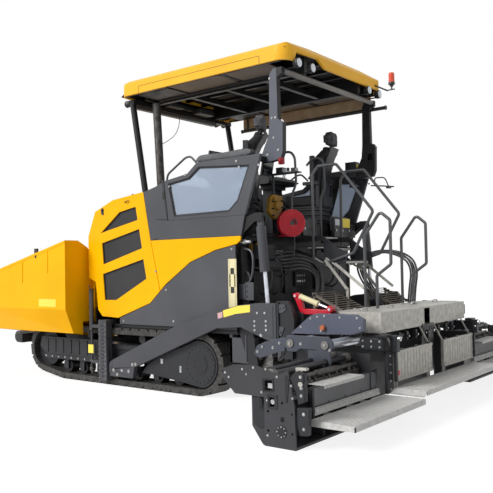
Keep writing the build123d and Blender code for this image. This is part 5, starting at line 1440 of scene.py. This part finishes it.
def floor():
    mesh = bpy.data.meshes.new("floor")
    far = 400
    mesh.from_pydata([(-far, -far, 0), (far, -far, 0), (far, far, 0), (-far, far, 0)], [], [(0, 1, 2, 3)])
    ground = Finish("floor_pale", (240, 240, 240), 0.9, spec=0.1)
    nodes, links = ground.nodes, ground.links
    glow = nodes.new("ShaderNodeEmission")
    glow.inputs["Strength"].default_value = FLOOR_GLOW
    shadowed = nodes.new("ShaderNodeBsdfDiffuse")
    shadowed.inputs["Color"].default_value = (FLOOR_SHADED, FLOOR_SHADED, FLOOR_SHADED, 1)
    both = nodes.new("ShaderNodeAddShader")
    links.new(glow.outputs[0], both.inputs[0])
    links.new(shadowed.outputs[0], both.inputs[1])
    mix = nodes.new("ShaderNodeMixShader")
    links.new(seen_directly(nodes, links), mix.inputs[0])
    links.new(ground.bsdf.outputs[0], mix.inputs[1])
    links.new(both.outputs[0], mix.inputs[2])
    links.new(mix.outputs[0], nodes["Material Output"].inputs["Surface"])
    mesh.materials.append(ground.mat)
    obj = linked("floor", mesh)
    obj.location.z = -0.002


def sun():
    lamp = bpy.data.lights.new("key", "SUN")
    lamp.angle = radians(KEY_WIDTH)
    lamp.energy = KEY_POWER
    linked("key", lamp).rotation_euler = Vector(KEY_FROM).to_track_quat("Z", "Y").to_euler()


CAMERA_AT = Vector((-6.173, 7.299, 1.5))
YAW, PITCH, ROLL = radians(52.05), radians(1.595), radians(-1.085)
LENS = 50.95


def camera():
    ahead = Vector((cos(YAW) * cos(PITCH), -sin(YAW) * cos(PITCH), sin(PITCH)))
    right = ahead.cross(Vector((0, 0, 1))).normalized()
    up = right.cross(ahead)
    right, up = right * cos(ROLL) + up * sin(ROLL), up * cos(ROLL) - right * sin(ROLL)
    data = bpy.data.cameras.new("camera")
    data.sensor_width = 36
    data.lens = LENS
    data.clip_end = 1000
    obj = linked("camera", data)
    turn = Matrix((right, up, -ahead)).transposed().to_4x4()
    obj.matrix_world = Matrix.Translation(CAMERA_AT) @ turn
    SCENE.camera = obj


def world():
    sky = bpy.data.worlds.new("world")
    sky.use_nodes = True
    nodes, links = sky.node_tree.nodes, sky.node_tree.links
    back = nodes["Background"]
    back.inputs["Color"].default_value = (1, 1, 1, 1)
    strength = nodes.new("ShaderNodeMapRange")
    strength.inputs["To Min"].default_value = SKY_LIGHT
    strength.inputs["To Max"].default_value = 1.0
    links.new(seen_directly(nodes, links), strength.inputs["Value"])
    links.new(strength.outputs["Result"], back.inputs["Strength"])
    SCENE.world = sky


floor()
world()
camera()
sun()
SCENE.view_settings.view_transform = "Standard"
